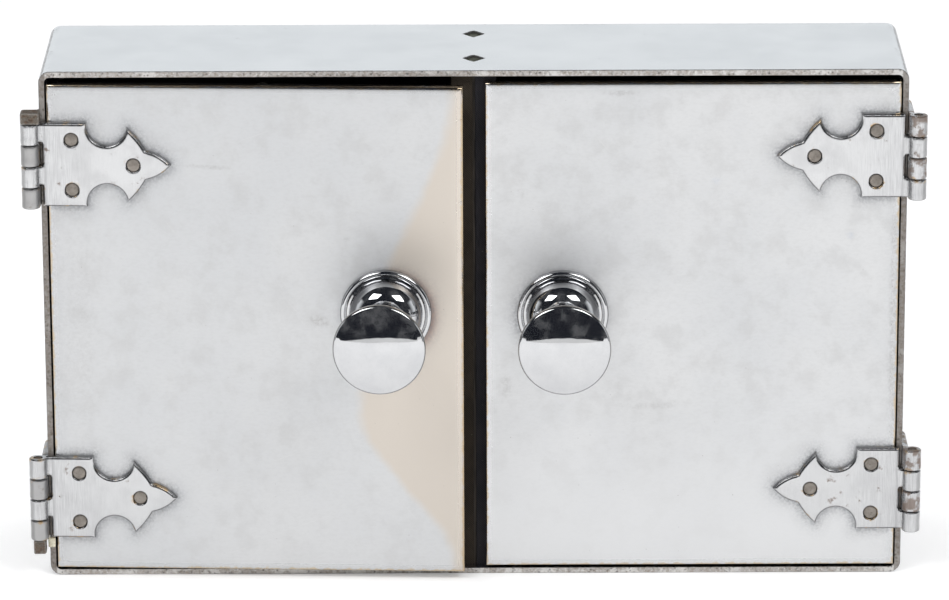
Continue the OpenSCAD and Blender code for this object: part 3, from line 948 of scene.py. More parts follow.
@dataclass(frozen=True)
class BoxPlating(Finish):
    """Old plating on the case: bluish white, with specks, and tan where the front edges are worn."""

    slot: str = "case_plating"
    cloud: Colour = (0.72, 0.745, 0.765)
    speck: Colour = (0.28, 0.27, 0.29)
    light_tan: Colour = (0.62, 0.60, 0.585)
    bare: Colour = (0.84, 0.83, 0.81)
    crumb: Colour = (0.88, 0.88, 0.88)
    plate: Colour = (0.78, 0.80, 0.815)
    tan: Colour = (0.42, 0.37, 0.32)
    dark: Colour = (0.05, 0.045, 0.04)
    dirt: Colour = (0.13, 0.105, 0.085)
    side_x: float = 150.4
    roughness: float = 0.2

    def wire(self, g: Graph, skin: Node) -> None:
        """Plating, clouds, specks, and the worn edge that faces the front.

        Args:
            g: The material's graph.
            skin: Its shader.
        """
        place, wear = g.millimetres(), g.stored("wear")
        facing = g.times(g.parts(g.add("NewGeometry").outputs["Normal"])[1], -1.0)
        front = g.ramp(facing, 0.55, 0.95)
        clouds = g.effect(Effect.BLOTCHES, place, Size=26.0, Cover=0.5, Softness=0.16)
        colour = g.mix(g.times(clouds.outputs["Mask"], 0.35), self.plate, self.cloud)
        specks = g.mask(Effect.SPECKS, place, Pitch=3.4, Share=0.22, Size=0.13)
        colour = g.tint(colour, self.speck, specks, 0.75)
        pits = g.effect(Effect.PITS, place, Size=1.1, Share=0.55)
        worn = g.mix(g.ramp(g.noise(place, 0.8, 5.0, 0.7), 0.35, 0.6), self.tan, self.light_tan)
        pale = g.ramp(g.noise(g.scaled(place, 0.16, 1.0, 0.16), 1.0, 4.0, 0.7), 0.5, 0.62)
        worn = g.mix(g.times(pale, 0.75), worn, self.bare)
        crumbs = g.mask(Effect.SPECKS, place, Pitch=0.9, Share=0.5, Size=0.26)
        near = g.ramp(wear, 0.9, 0.2)
        worn = g.mix(g.times(near, crumbs), worn, self.crumb)
        worn = g.mix(g.times(pits.outputs["Mask"], 0.8), worn, self.dark)
        upright = g.ramp(g.math("ABSOLUTE", g.parts(place)[0]), self.side_x - 0.4, self.side_x)
        worn = g.mix(g.times(upright, 0.6), worn, self.dirt)
        colour = g.mix(front, colour, worn)
        edge = g.mask(Effect.EDGE_WEAR, place, Distance=wear, Reach=0.55, Grain=1.6)
        rim = g.times(edge, g.ramp(front, 0.95, 0.3))
        rim = g.times(rim, g.ramp(facing, -0.2, 0.15))
        colour = g.tint(colour, self.dark, rim, 0.85)
        g.feed(skin.inputs["Base Color"], colour)
        used = g.math("MAXIMUM", front, rim)
        g.feed(skin.inputs["Metallic"], g.ramp(used, 0.0, 1.0, 1.0, 0.7))
        rough = g.plus(g.times(clouds.outputs["Cloud"], 0.12), self.roughness - 0.06)
        g.feed(skin.inputs["Roughness"], g.plus(rough, g.times(used, 0.3)))
        height = g.plus(g.times(pits.outputs["Height"], used), g.times(specks, -0.3))
        self.relief(g, skin, height, 0.12, 0.7)


@dataclass(frozen=True)
class Mark:
    """A soft mark on a door: its middle, half width and half height, turn in degrees, and depth."""

    x: float
    z: float
    wide: float
    high: float
    turn: float = 0.0
    depth: float = 0.3


@dataclass(frozen=True)
class DoorPlating(Finish):
    """A door's plating: satin, clouded, specked, greyer with dirt and painted shade near the hinges and the
    rose, paler with painted light towards the bottom, and with a painted warm reflection on the left door.
    """

    slot: str = "door_mirror"
    cool: Colour = (0.655, 0.67, 0.69)
    cloud: Colour = (0.58, 0.58, 0.58)
    wiped: Colour = (0.50, 0.50, 0.50)
    # Colour of the painted light towards the bottom of the door.
    pale: Colour = (0.84, 0.845, 0.85)
    # Browner colour of the painted warm reflection, where the dirt and painted shade are.
    reflected_brown: Colour = (0.42, 0.27, 0.21)
    blue: Colour = (0.42, 0.50, 0.66)
    mark_tone: Colour = (0.33, 0.32, 0.31)
    speck: Colour = (0.24, 0.22, 0.21)
    crumb: Colour = (0.16, 0.12, 0.10)
    scratch: Colour = (0.92, 0.92, 0.92)
    side: Side = Side.LEFT
    plate: Colour = (0.70, 0.705, 0.71)
    # Colour of the painted warm reflection on the left door.
    warm: Colour = (0.70, 0.635, 0.56)
    # Grey of the dirt and painted shade round the fittings and along the edges.
    grey: Colour = (0.30, 0.31, 0.33)
    brass: Colour = (0.62, 0.47, 0.27)
    roughness: float = 0.36
    marks: tuple[Mark, ...] = ()
    blue_marks: tuple[Mark, ...] = ()
    metal: float = 0.6
    edge_lean: float = 0.3
    # Strength of the painted light towards the bottom of the door.
    low_gain: float = 0.15
    # Shape of the painted warm reflection on the left door.
    reflection_waist_z: float = 64.5
    patch_width: float = 36.0
    reflection_taper: float = 32.0
    reflection_above: float = 115.5
    reflection_below: float = 57.0

    def suffix(self) -> str:
        """One material for each door."""
        return "_" + self.side.word

    def _patch(self, g: Graph, place: object) -> Socket:
        """Where a warm reflection is painted on the door: widest at the waist, along the free edge.

        Args:
            g: The material's graph.
            place: Place on the surface in millimetres.

        Returns:
            A mask from 0 to 1.
        """
        x, _, z = g.parts(place)
        rise = g.minus(z, self.reflection_waist_z)
        above = g.math("POWER", g.ramp(rise, 0.0, self.reflection_above), 1.35)
        below = g.math("POWER", g.ramp(rise, 0.0, -self.reflection_below), 1.15)
        width = g.minus(self.patch_width + 4.0, g.times(g.plus(above, below), self.reflection_taper))
        ragged = g.times(g.minus(g.noise(place, 0.06, 4.0), 0.5), 6.0)
        free = g.times(x, -1.0 if self.side is Side.LEFT else 1.0)
        reach = g.minus(g.plus(width, ragged), free)
        return g.ramp(reach, -3.2, 2.4)

    def wire(self, g: Graph, skin: Node) -> None:
        """Plating, clouds, painted light towards the bottom, the painted warm reflection, dirt and painted
        shade round the fittings, marks, specks, scratches and worn brass edges.

        Args:
            g: The material's graph.
            skin: Its shader.
        """
        place, wear, grime_and_shade = g.millimetres(), g.stored("wear"), g.stored("grime_and_shade")
        clouds = g.effect(Effect.BLOTCHES, place, Size=55.0, Cover=0.5, Softness=0.2)
        fine = g.effect(Effect.BLOTCHES, place, Size=9.0, Cover=0.35, Softness=0.12)
        colour = g.mix(g.times(clouds.outputs["Mask"], 0.5), self.plate, self.cool)
        colour = g.tint(colour, self.cloud, fine.outputs["Mask"], 0.4)
        wiped = g.ramp(g.noise(g.scaled(place, 0.5, 1.0, 1.0), 1.0, 5.0, 0.7), 0.4, 0.7)
        colour = g.tint(colour, self.wiped, wiped, 0.14)
        # Painted light: paler towards the bottom of the door, in place of the floor reflected there.
        low = g.times(g.ramp(g.parts(place)[2], 80.0, 10.0), self.low_gain)
        colour = g.mix(low, colour, self.pale)
        # Painted reflection: a warm patch on the left door, browner where the dirt and painted shade are.
        if self.side is Side.LEFT:
            warm_reflection = self._patch(g, place)
            warm = g.mix(g.ramp(grime_and_shade, 0.05, 0.9), self.warm, self.reflected_brown)
            colour = g.tint(colour, warm, warm_reflection, 0.92)
        # Dirt and painted shade: grey where the stored mask is high, round the leaves, the rose and the
        # edges.
        dirt = g.times(grime_and_shade, g.ramp(g.noise(place, 1.3, 5.0, 0.7), 0.32, 0.66, 0.2, 1.0))
        colour = g.tint(colour, self.grey, dirt, 0.8)
        for mark in self.marks + self.blue_marks:
            smudge = g.mask(Effect.SMUDGE, place, Centre=(mark.x, 0.0, mark.z),
                            Size=(mark.wide, 1.0, mark.high), Turn=math.radians(mark.turn))
            tone = self.blue if mark in self.blue_marks else self.mark_tone
            streaky = g.ramp(g.noise(place, 0.9, 4.0, 0.7), 0.4, 0.62, 0.15, 0.8)
            smudged = g.times(smudge, streaky)
            colour = g.tint(colour, tone, smudged, mark.depth)
        specks = g.mask(Effect.SPECKS, place, Pitch=4.0, Share=0.4, Size=0.10)
        colour = g.tint(colour, self.speck, specks, 0.7)
        crumbs = g.mask(Effect.SPECKS, place, Pitch=1.1, Share=0.6, Size=0.3)
        colour = g.mix(g.times(crumbs, g.ramp(grime_and_shade, 0.1, 0.6)), colour, self.crumb)
        lines = g.mask(Effect.HAIRLINES, place, Turn=0.35, Length=30.0, Width=0.5, Share=0.3)
        other = g.mask(Effect.HAIRLINES, g.vector("ADD", place, (70.0, 0.0, 30.0)), Turn=-0.9,
                       Length=22.0, Width=0.45, Share=0.25)
        scratch = g.math("MAXIMUM", lines, other)
        colour = g.tint(colour, self.scratch, scratch, 0.14)
        edge = g.mask(Effect.EDGE_WEAR, place, Distance=wear, Reach=0.9, Grain=3.0)
        colour = g.tint(colour, self.brass, edge, 0.7)
        g.feed(skin.inputs["Base Color"], colour)
        near_edge = g.math("EXPONENT", g.math("DIVIDE", wear, -1.3))
        g.feed(skin.inputs["Metallic"], g.ramp(near_edge, 0.0, 0.5, self.metal, 1.0))
        rough = g.plus(g.times(clouds.outputs["Cloud"], 0.14), self.roughness - 0.07)
        rough = g.times(rough, g.ramp(near_edge, 0.0, 0.4, 1.0, 0.4))
        rough = g.plus(rough, g.times(dirt, 0.18))
        g.feed(skin.inputs["Roughness"], g.plus(rough, g.times(scratch, 0.08)))
        height = g.minus(g.times(fine.outputs["Cloud"], 0.25),
                         g.plus(g.times(specks, 0.5), g.times(scratch, 0.25)))
        sunk = g.times(near_edge, -self.edge_lean / 0.05)
        self.relief(g, skin, g.plus(height, sunk), 0.05, 1.0)


@dataclass(frozen=True)
class LeafPlating(Finish):
    """Polished plating on a hinge, rubbed through to brass at its edges and points."""

    slot: str = "hinge_plating"
    streak: Colour = (0.40, 0.40, 0.41)
    shade: Colour = (0.25, 0.25, 0.26)
    cloud: Colour = (0.50, 0.50, 0.51)
    speck: Colour = (0.16, 0.14, 0.13)
    plate: Colour = (0.73, 0.735, 0.74)
    dull: Colour = (0.50, 0.495, 0.49)
    brass: Colour = (0.55, 0.38, 0.19)
    brown: Colour = (0.17, 0.10, 0.06)
    # Dark colour of the painted reflection bands.
    outline: Colour = (0.07, 0.07, 0.075)
    roughness: float = 0.19
    barrel_x: float = 151.5
    brushed: bool = False
    stained: bool = False

    def suffix(self) -> str:
        """Brushed and stained hinges have materials of their own."""
        return ("_brushed" if self.brushed else "") + ("_stained" if self.stained else "")

    def wire(self, g: Graph, skin: Node) -> None:
        """Plating with brushed streaks, painted dark reflection bands on its rounded edges and barrels,
        brass, stains and specks.

        Args:
            g: The material's graph.
            skin: Its shader.
        """
        place, wear = g.millimetres(), g.stored("wear")
        barrel = g.ramp(g.math("ABSOLUTE", g.parts(place)[0]), self.barrel_x - 2.0, self.barrel_x)
        clouds = g.effect(Effect.BLOTCHES, place, Size=11.0, Cover=0.4, Softness=0.15)
        streaks = g.ramp(g.noise(g.scaled(place, 3.2, 3.2, 0.12), 1.0, 3.0, 0.6), 0.35, 0.7)
        near_barrel = g.ramp(g.math("ABSOLUTE", g.parts(place)[0]), 128.0, 150.0, 0.12, 0.5)
        colour = g.mix(g.times(streaks, near_barrel), self.plate, self.streak)
        if self.brushed:
            colour = g.mix(barrel, colour, self.dull)
        else:
            shade = g.ramp(barrel, 0.0, 0.5, 0.0, 0.35)
            shade = g.times(shade, g.ramp(barrel, 0.6, 1.0, 1.0, 0.0))
            colour = g.mix(shade, colour, self.shade)
        colour = g.tint(colour, self.cloud, clouds.outputs["Mask"], 0.35)
        # Painted reflection: a dark band where the surface turns away from the camera, softer on the barrels,
        # and on rounded edges that tilt upward.
        facing = g.add("LayerWeight").outputs["Facing"]
        band = g.times(g.ramp(facing, 0.16, 0.34), g.ramp(facing, 0.78, 0.5))
        rise = g.parts(g.add("NewGeometry").outputs["Normal"])[2]
        rolled = g.times(g.ramp(rise, 0.10, 0.3), g.ramp(rise, 0.92, 0.7))
        band = g.times(band, g.ramp(barrel, 0.0, 1.0, 0.7, 0.35))
        colour = g.mix(g.math("MAXIMUM", band, g.times(rolled, 0.62)), colour, self.outline)
        gate = g.mask(Effect.BLOTCHES, g.vector("ADD", place, (3.0, 9.0, 41.0)), Size=6.0,
                      Cover=0.32, Softness=0.05)
        edge = g.mask(Effect.EDGE_WEAR, place, Distance=wear, Reach=0.75, Grain=1.8)
        rubbed = g.times(edge, gate)
        colour = g.tint(colour, self.brass, rubbed, 0.8)
        stain = g.mask(Effect.BLOTCHES, g.vector("ADD", place, (31.0, 7.0, 11.0)), Size=4.5,
                       Cover=0.5 if self.stained else 0.12, Softness=0.06)
        if self.stained:
            stain = g.times(stain, g.ramp(barrel, 0.0, 1.0, 0.15, 1.0))
        colour = g.tint(colour, self.brown, stain, 0.7)
        specks = g.mask(Effect.SPECKS, place, Pitch=1.9, Share=0.3, Size=0.14)
        colour = g.tint(colour, self.speck, specks, 0.65)
        g.feed(skin.inputs["Base Color"], colour)
        g.feed(skin.inputs["Metallic"], g.ramp(stain, 0.0, 1.0, 1.0, 0.7))
        base = 0.3 if self.brushed else self.roughness
        rough = g.plus(g.times(clouds.outputs["Cloud"], 0.16), base - 0.08)
        g.feed(skin.inputs["Roughness"], g.plus(rough, g.times(stain, 0.25)))
        height = g.minus(g.plus(streaks, g.noise(place, 0.3, 3.0)), g.times(specks, 0.6))
        self.relief(g, skin, height, 0.04, 0.6)


@dataclass(frozen=True)
class KnobChrome(Finish):
    """Bright chrome with tiny specks and a slight waviness."""

    slot: str = "knob_chrome"
    speck: Colour = (0.20, 0.20, 0.22)
    rubbed: Colour = (0.42, 0.36, 0.28)
    chrome: Colour = (0.71, 0.715, 0.725)
    smoke: Colour = (0.54, 0.55, 0.57)
    # Dark colour of the painted reflection band.
    outline: Colour = (0.10, 0.10, 0.11)
    roughness: float = 0.035

    def wire(self, g: Graph, skin: Node) -> None:
        """Chrome, faint clouds in its colour and gloss, a painted dark reflection band, specks, rubbed edges
        and a slight waviness.

        Args:
            g: The material's graph.
            skin: Its shader.
        """
        place, wear = g.millimetres(), g.stored("wear")
        clouds = g.effect(Effect.BLOTCHES, place, Size=8.0, Cover=0.4, Softness=0.2)
        specks = g.mask(Effect.SPECKS, place, Pitch=1.5, Share=0.3, Size=0.12)
        colour = g.mix(g.times(clouds.outputs["Mask"], 0.35), self.chrome, self.smoke)
        # Painted reflection: a dark band where the surface turns away from the camera.
        facing = g.add("LayerWeight").outputs["Facing"]
        band = g.times(g.ramp(facing, 0.22, 0.4), g.ramp(facing, 0.8, 0.6))
        colour = g.tint(colour, self.outline, band, 0.7)
        colour = g.tint(colour, self.speck, specks, 0.55)
        edge = g.mask(Effect.EDGE_WEAR, place, Distance=wear, Reach=0.3, Grain=2.5)
        colour = g.tint(colour, self.rubbed, edge, 0.35)
        g.feed(skin.inputs["Base Color"], colour)
        haze = g.mask(Effect.BLOTCHES, g.vector("ADD", place, (17.0, 0.0, 5.0)), Size=6.0, Cover=0.4,
                      Softness=0.16)
        g.feed(skin.inputs["Metallic"], g.ramp(haze, 0.0, 1.0, 0.99, 0.91))
        g.feed(skin.inputs["Roughness"], g.plus(g.times(clouds.outputs["Cloud"], 0.05),
                                                self.roughness - 0.02))
        height = g.minus(g.noise(place, 0.12, 2.0), g.times(specks, 0.2))
        self.relief(g, skin, height, 0.03, 0.5)


@dataclass(frozen=True)
class DullMetal(Finish):
    """Bare dull metal with scratches and dirt, for rivets, screws and washers."""

    slot: str = "rivet_metal"
    metal: Colour = (0.40, 0.36, 0.32)
    dirt: Colour = (0.10, 0.085, 0.07)
    roughness: float = 0.42
    pit_size: float = 0.6
    scratch: Colour = (0.74, 0.71, 0.67)
    cloud_shade: float = 0.62

    def wire(self, g: Graph, skin: Node) -> None:
        """Metal, pits with dirt in them, and a few bright scratches.

        Args:
            g: The material's graph.
            skin: Its shader.
        """
        place = g.millimetres()
        pits = g.effect(Effect.PITS, place, Size=self.pit_size, Share=0.5)
        clouds = g.effect(Effect.BLOTCHES, place, Size=2.6, Cover=0.5, Softness=0.12)
        colour = g.mix(g.times(clouds.outputs["Mask"], 0.55), self.metal,
                       tuple(c * self.cloud_shade for c in self.metal))
        colour = g.tint(colour, self.dirt, pits.outputs["Mask"], 0.8)
        lines = g.mask(Effect.HAIRLINES, place, Turn=0.8, Length=5.0, Width=0.16, Share=0.35)
        colour = g.tint(colour, self.scratch, lines, 0.4)
        g.feed(skin.inputs["Base Color"], colour)
        g.feed(skin.inputs["Metallic"], g.ramp(pits.outputs["Mask"], 0.0, 1.0, 1.0, 0.3))
        g.feed(skin.inputs["Roughness"], g.plus(g.times(clouds.outputs["Cloud"], 0.3),
                                                self.roughness - 0.12))
        self.relief(g, skin, pits.outputs["Height"], 0.16, 0.7)


@dataclass(frozen=True)
class CorrodedIron(Finish):
    """Rough brown-grey iron."""

    slot: str = "rusted_pin"
    iron: Colour = (0.17, 0.15, 0.125)
    rust: Colour = (0.13, 0.075, 0.045)
    bright: Colour = (0.40, 0.38, 0.35)
    hollow: Colour = (0.035, 0.025, 0.02)

    def wire(self, g: Graph, skin: Node) -> None:
        """Iron, rust in the hollows, and bare metal on the worn edges.

        Args:
            g: The material's graph.
            skin: Its shader.
        """
        place, wear = g.millimetres(), g.stored("wear")
        pits = g.effect(Effect.PITS, place, Size=0.6, Share=0.8)
        clouds = g.mask(Effect.BLOTCHES, place, Size=1.6, Cover=0.5, Softness=0.1)
        colour = g.mix(g.times(clouds, 0.75), self.iron, self.rust)
        colour = g.tint(colour, self.hollow, pits.outputs["Mask"], 0.8)
        edge = g.mask(Effect.EDGE_WEAR, place, Distance=wear, Reach=0.7, Grain=0.8)
        colour = g.tint(colour, self.bright, edge, 0.7)
        g.feed(skin.inputs["Base Color"], colour)
        g.feed(skin.inputs["Metallic"], g.ramp(edge, 0.0, 1.0, 0.35, 0.9))
        g.feed(skin.inputs["Roughness"], g.ramp(edge, 0.0, 1.0, 0.72, 0.42))
        self.relief(g, skin, pits.outputs["Height"], 0.3, 0.8)


@dataclass(frozen=True)
class Cloth(Finish):
    """Twill cloth with pale dust caught in it."""

    slot: str = "black_cloth"
    thread: Colour = (0.010, 0.011, 0.015)
    faded: Colour = (0.024, 0.023, 0.027)
    pitch: float = 0.85
    dust: float = 0.3
    lint: Colour = (0.5, 0.49, 0.46)
    rib_gain: float = 2.2

    def wire(self, g: Graph, skin: Node) -> None:
        """Threads, fading and dust.

        Args:
            g: The material's graph.
            skin: Its shader.
        """
        place = g.millimetres()
        weave = g.effect(Effect.TWILL, place, Pitch=self.pitch)
        clouds = g.effect(Effect.BLOTCHES, place, Size=12.0, Cover=0.5, Softness=0.15)
        colour = g.mix(clouds.outputs["Mask"], self.thread, self.faded)
        colour = g.tint(colour, tuple(c * self.rib_gain for c in self.faded), weave.outputs["Rib"], 0.5)
        dust = g.mask(Effect.SPECKS, place, Pitch=1.3, Share=self.dust, Size=0.24)
        colour = g.tint(colour, self.lint, dust, 0.9)
        g.feed(skin.inputs["Base Color"], colour)
        g.feed(skin.inputs["Roughness"], g.ramp(clouds.outputs["Cloud"], 0.2, 0.8, 0.82, 0.97))
        skin.inputs["Specular IOR Level"].default_value = 0.3
        self.relief(g, skin, weave.outputs["Height"], 0.22, 0.8)


@dataclass(frozen=True)
class StainedWood(Finish):
    """Black-stained wood with open grain."""

    slot: str = "stained_wood"
    stain: Colour = (0.012, 0.01, 0.008)
    worn: Colour = (0.06, 0.045, 0.033)

    def wire(self, g: Graph, skin: Node) -> None:
        """Grain that runs up the divider.

        Args:
            g: The material's graph.
            skin: Its shader.
        """
        place = g.millimetres()
        grain = g.noise(g.scaled(place, 1.4, 1.4, 0.06), 1.0, 5.0, 0.65)
        g.feed(skin.inputs["Base Color"], g.mix(g.ramp(grain, 0.3, 0.7), self.stain, self.worn))
        g.feed(skin.inputs["Roughness"], g.ramp(grain, 0.3, 0.7, 0.75, 0.5))
        self.relief(g, skin, grain, 0.15, 0.6)


@dataclass(frozen=True)
class Packing(Finish):
    """Crumbling cream packing."""

    slot: str = "cream_packing"
    cream: Colour = (0.80, 0.76, 0.60)
    ochre: Colour = (0.62, 0.54, 0.38)
    crack: Colour = (0.30, 0.24, 0.15)

    def wire(self, g: Graph, skin: Node) -> None:
        """Cream, darker in its cracks.

        Args:
            g: The material's graph.
            skin: Its shader.
        """
        place = g.millimetres()
        pits = g.effect(Effect.PITS, place, Size=0.7, Share=0.6)
        clouds = g.effect(Effect.BLOTCHES, place, Size=2.0, Cover=0.4, Softness=0.15)
        colour = g.tint(self.cream, self.ochre, clouds.outputs["Mask"], 0.5)
        colour = g.tint(colour, self.crack, pits.outputs["Mask"], 0.6)
        g.feed(skin.inputs["Base Color"], colour)
        g.feed(skin.inputs["Roughness"], g.ramp(clouds.outputs["Cloud"], 0.2, 0.8, 0.7, 0.95))
        self.relief(g, skin, pits.outputs["Height"], 0.2, 0.7)


# ---------------- assemblies


def span(node: str) -> tuple[Vector, Vector]:
    """The two corners of a node's box in millimetres."""
    low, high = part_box(node)
    return Vector(low) / MM, Vector(high) / MM


def metres(matrix: Matrix) -> Matrix:
    """A placing matrix with its shift turned from millimetres into metres.

    Args:
        matrix: The matrix in millimetres.

    Returns:
        The matrix in metres.
    """
    made = matrix.copy()
    made.translation = matrix.translation * MM
    return made


def fit(shape: Shape, name: str, finish: Finish, body: str, nodes: Sequence[str],
        turn: Matrix | None = None) -> bpy.types.Object:
    """Makes a piece, gives it its finish, and puts it on its body in place of its nodes.

    Args:
        shape: The piece, where it is with the doors closed.
        name: The piece's name.
        finish: Its finish.
        body: The body that it rides on.
        nodes: The frame's nodes that it stands for.
        turn: How the piece is turned with its door, in millimetres.

    Returns:
        The new piece.
    """
    piece = shape.build(name)
    piece.data.materials.append(finish.material())
    if turn is not None:
        piece.matrix_world = metres(turn)
    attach(piece, body)
    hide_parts(*nodes)
    LOG.info("%s: %d faces on %s", name, len(shape.faces), body)
    return piece


def dress(node: str, finish: Finish, bevel: float) -> None:
    """Gives a node of the frame its finish, and rounds its edges a little.

    Args:
        node: The node's name.
        finish: Its finish.
        bevel: Width of its rounded edges in millimetres.
    """
    piece = frame["nodes"][node]
    piece.data.materials.clear()
    piece.data.materials.append(finish.material())
    weld = piece.modifiers.new("joined corners", "WELD")
    weld.merge_threshold = 1e-6
    rounded = piece.modifiers.new("rounded edges", "BEVEL")
    rounded.width = bevel * MM
    rounded.segments = 2
    rounded.limit_method = "ANGLE"
    rounded.angle_limit = math.radians(40)
    LOG.info("%s: dressed in %s", node, finish.slot)


@dataclass
class Case:
    """The four case plates, whose corners are bent and mitred, the back, and the divider."""

    width: float = 305.0
    height: float = field(default_factory=lambda: span("top_plate")[1].z)
    depth: float = 65.0
    sheet: float = 2.1
    corner: float = 4.0
    edge_roll: float = 0.4
    seam_depth: float = 0.05
    stud_width: float = 7.4
    stud_length: float = 9.0
    stud_sunk: float = 0.6
    stud_bow: float = 0.12
    shank_r: float = 1.5
    shank_length: float = 12.0
    ripple: float = 0.025
    first_stud: float = 17.0
    stud_pitch: float = 34.0

    def stud_places(self) -> list[float]:
        """Distance of each stud from the middle of the case's depth."""
        return [self.first_stud - self.depth / 2 + i * self.stud_pitch for i in range(2)]

    def lozenge(self, y: float) -> list[Point]:
        """A stud's outline, with its four sides bowed a little.

        Args:
            y: The stud's place along the depth.

        Returns:
            The outline.
        """
        half_w, half_l = self.stud_width / 2, self.stud_length / 2
        tips = [(half_w, y), (0.0, y + half_l), (-half_w, y), (0.0, y - half_l)]
        found = []
        for a, b in zip(tips, tips[1:] + tips[:1]):
            found += bulge(a, b, -self.stud_bow, 4)[:-1]
        return found

    def plate(self, half_span: float, reach: float, holes: Sequence[Sequence[Point]]) -> Shape:
        """One plate of the case, its two ends bent an eighth of a turn to meet its neighbours.

        Args:
            half_span: Half the outer length of the plate.
            reach: Distance of its outer face from the middle of the case.
            holes: Outlines of the holes in it.

        Returns:
            The plate, with its outer face up.
        """
        straight = half_span - self.corner
        bend = self.corner * math.pi / 4
        bends = np.linspace(0, bend, 8)
        along = np.concatenate([-straight - bends[::-1], np.arange(-straight + 3, straight - 2.9, 3.0),
                                straight + bends])
        half_d = self.depth / 2
        outline = [(s, -half_d) for s in along] + [(s, half_d) for s in along[::-1]]
        inner = [(s, y) for s in along for y in np.arange(-half_d + 3.2, half_d - 3, 3.25)]
        flat = Cutting(outline, self.sheet, holes, roll=self.edge_roll, hole_roll=0.25, step=1.5,
                       inner=inner).shape()

        def bent(points: np.ndarray) -> np.ndarray:
            """Bends the two ends round the case's corners.

            Args:
                points: The flat points.

            Returns:
                The bent points.
            """
            s, w = points[:, 0], points[:, 2]
            seam = (np.abs(s) > straight + bend - 0.6) & (np.abs(points[:, 1]) < half_d - 0.6)
            w = np.where(seam & (w > self.sheet / 2), self.sheet - self.seam_depth, w)
            turned = np.maximum(np.abs(s) - straight, 0) / self.corner
            radius = self.corner - self.sheet + w
            x = np.sign(s) * (np.minimum(np.abs(s), straight) + radius * np.sin(turned))
            z = reach - self.corner + radius * np.cos(turned)
            ripple = self.ripple + self.ripple * wavy(np.c_[s, points[:, 1], w * 0], 28.0, reach)
            return np.c_[x, points[:, 1], z - np.maximum(ripple, 0) * np.clip(1 - turned * 4, 0, 1)]

        return flat.mapped(bent)

    def make(self, hinge: "Hinge") -> None:
        """Makes the plates, the studs and the divider, and dresses the back.

        Args:
            hinge: The hinge whose rivets go through the side plates.
        """
        middle = Matrix.Translation((0, 0, self.height / 2))
        half_w, half_h = self.width / 2, self.height / 2
        lozenges = [self.lozenge(y) for y in self.stud_places()]
        rivets = {side: [arc((-side.value * (z + v - half_h), hinge.axis_y + u),
                             hinge.rivet_d / 2 + hinge.rivet_gap, 0, 345, 23)
                         for z in hinge.heights(side).values() for u, v in hinge.rivet_places()]
                  for side in Side}
        plating = BoxPlating()
        for name, degrees, half_span, reach, holes in (
            ("top", 0, half_w, half_h, lozenges), ("bottom", 180, half_w, half_h, lozenges),
            ("left_side", -90, half_h, half_w, rivets[Side.LEFT]),
            ("right_side", 90, half_h, half_w, rivets[Side.RIGHT]),
        ):
            turned = middle @ Matrix.Rotation(math.radians(degrees), 4, "Y")
            shape = self.plate(half_span, reach, holes).moved(turned)
            fit(shape, f"{name}_plate_metal", plating, "case", [f"{name}_plate"])
        tarnished = DullMetal("tarnished_studs", metal=(0.36, 0.37, 0.29), dirt=(0.11, 0.085, 0.05),
                              roughness=0.5, pit_size=1.1)
        for name, degrees in (("top", 0), ("bottom", 180)):
            turned = middle @ Matrix.Rotation(math.radians(degrees), 4, "Y")
            heads = [self.stud(y, index + degrees) for index, y in enumerate(self.stud_places())]
            fit((heads[0] + heads[1]).moved(turned), f"divider_{name}_stud_heads", tarnished, "case",
                [f"divider_{name}_studs"])
        dress("back_panel", BoxPlating(), 0.15)
        dress("divider_core", StainedWood(), 0.3)
        brown = Cloth("brown_cloth", thread=(0.014, 0.011, 0.008), faded=(0.034, 0.027, 0.020))
        dress("divider_left_cloth", brown, 0.3)
        dress("divider_right_cloth", Cloth(), 0.3)

    def stud(self, y: float, seed: float) -> Shape:
        """One stud: a pitted lozenge head in its hole, on a round shank.

        Args:
            y: The stud's place along the depth.
            seed: What makes its pits its own.

        Returns:
            The stud, in the case's middle frame with the plate's face up.
        """
        face = self.height / 2 - self.sheet
        head = Cutting(self.lozenge(y), self.sheet - self.stud_sunk, roll=0.3, step=0.4, cell=0.7,
                       dents=0.5, seed=seed + y).shape()
        shank = lathe([(0, -self.shank_length), (self.shank_r, 0.6 - self.shank_length),
                       (self.shank_r, 0.2), (0, 0.2)], 24)
        return head.moved(Matrix.Translation((0, 0, face))) + shank.moved(Matrix.Translation((0, y, face)))


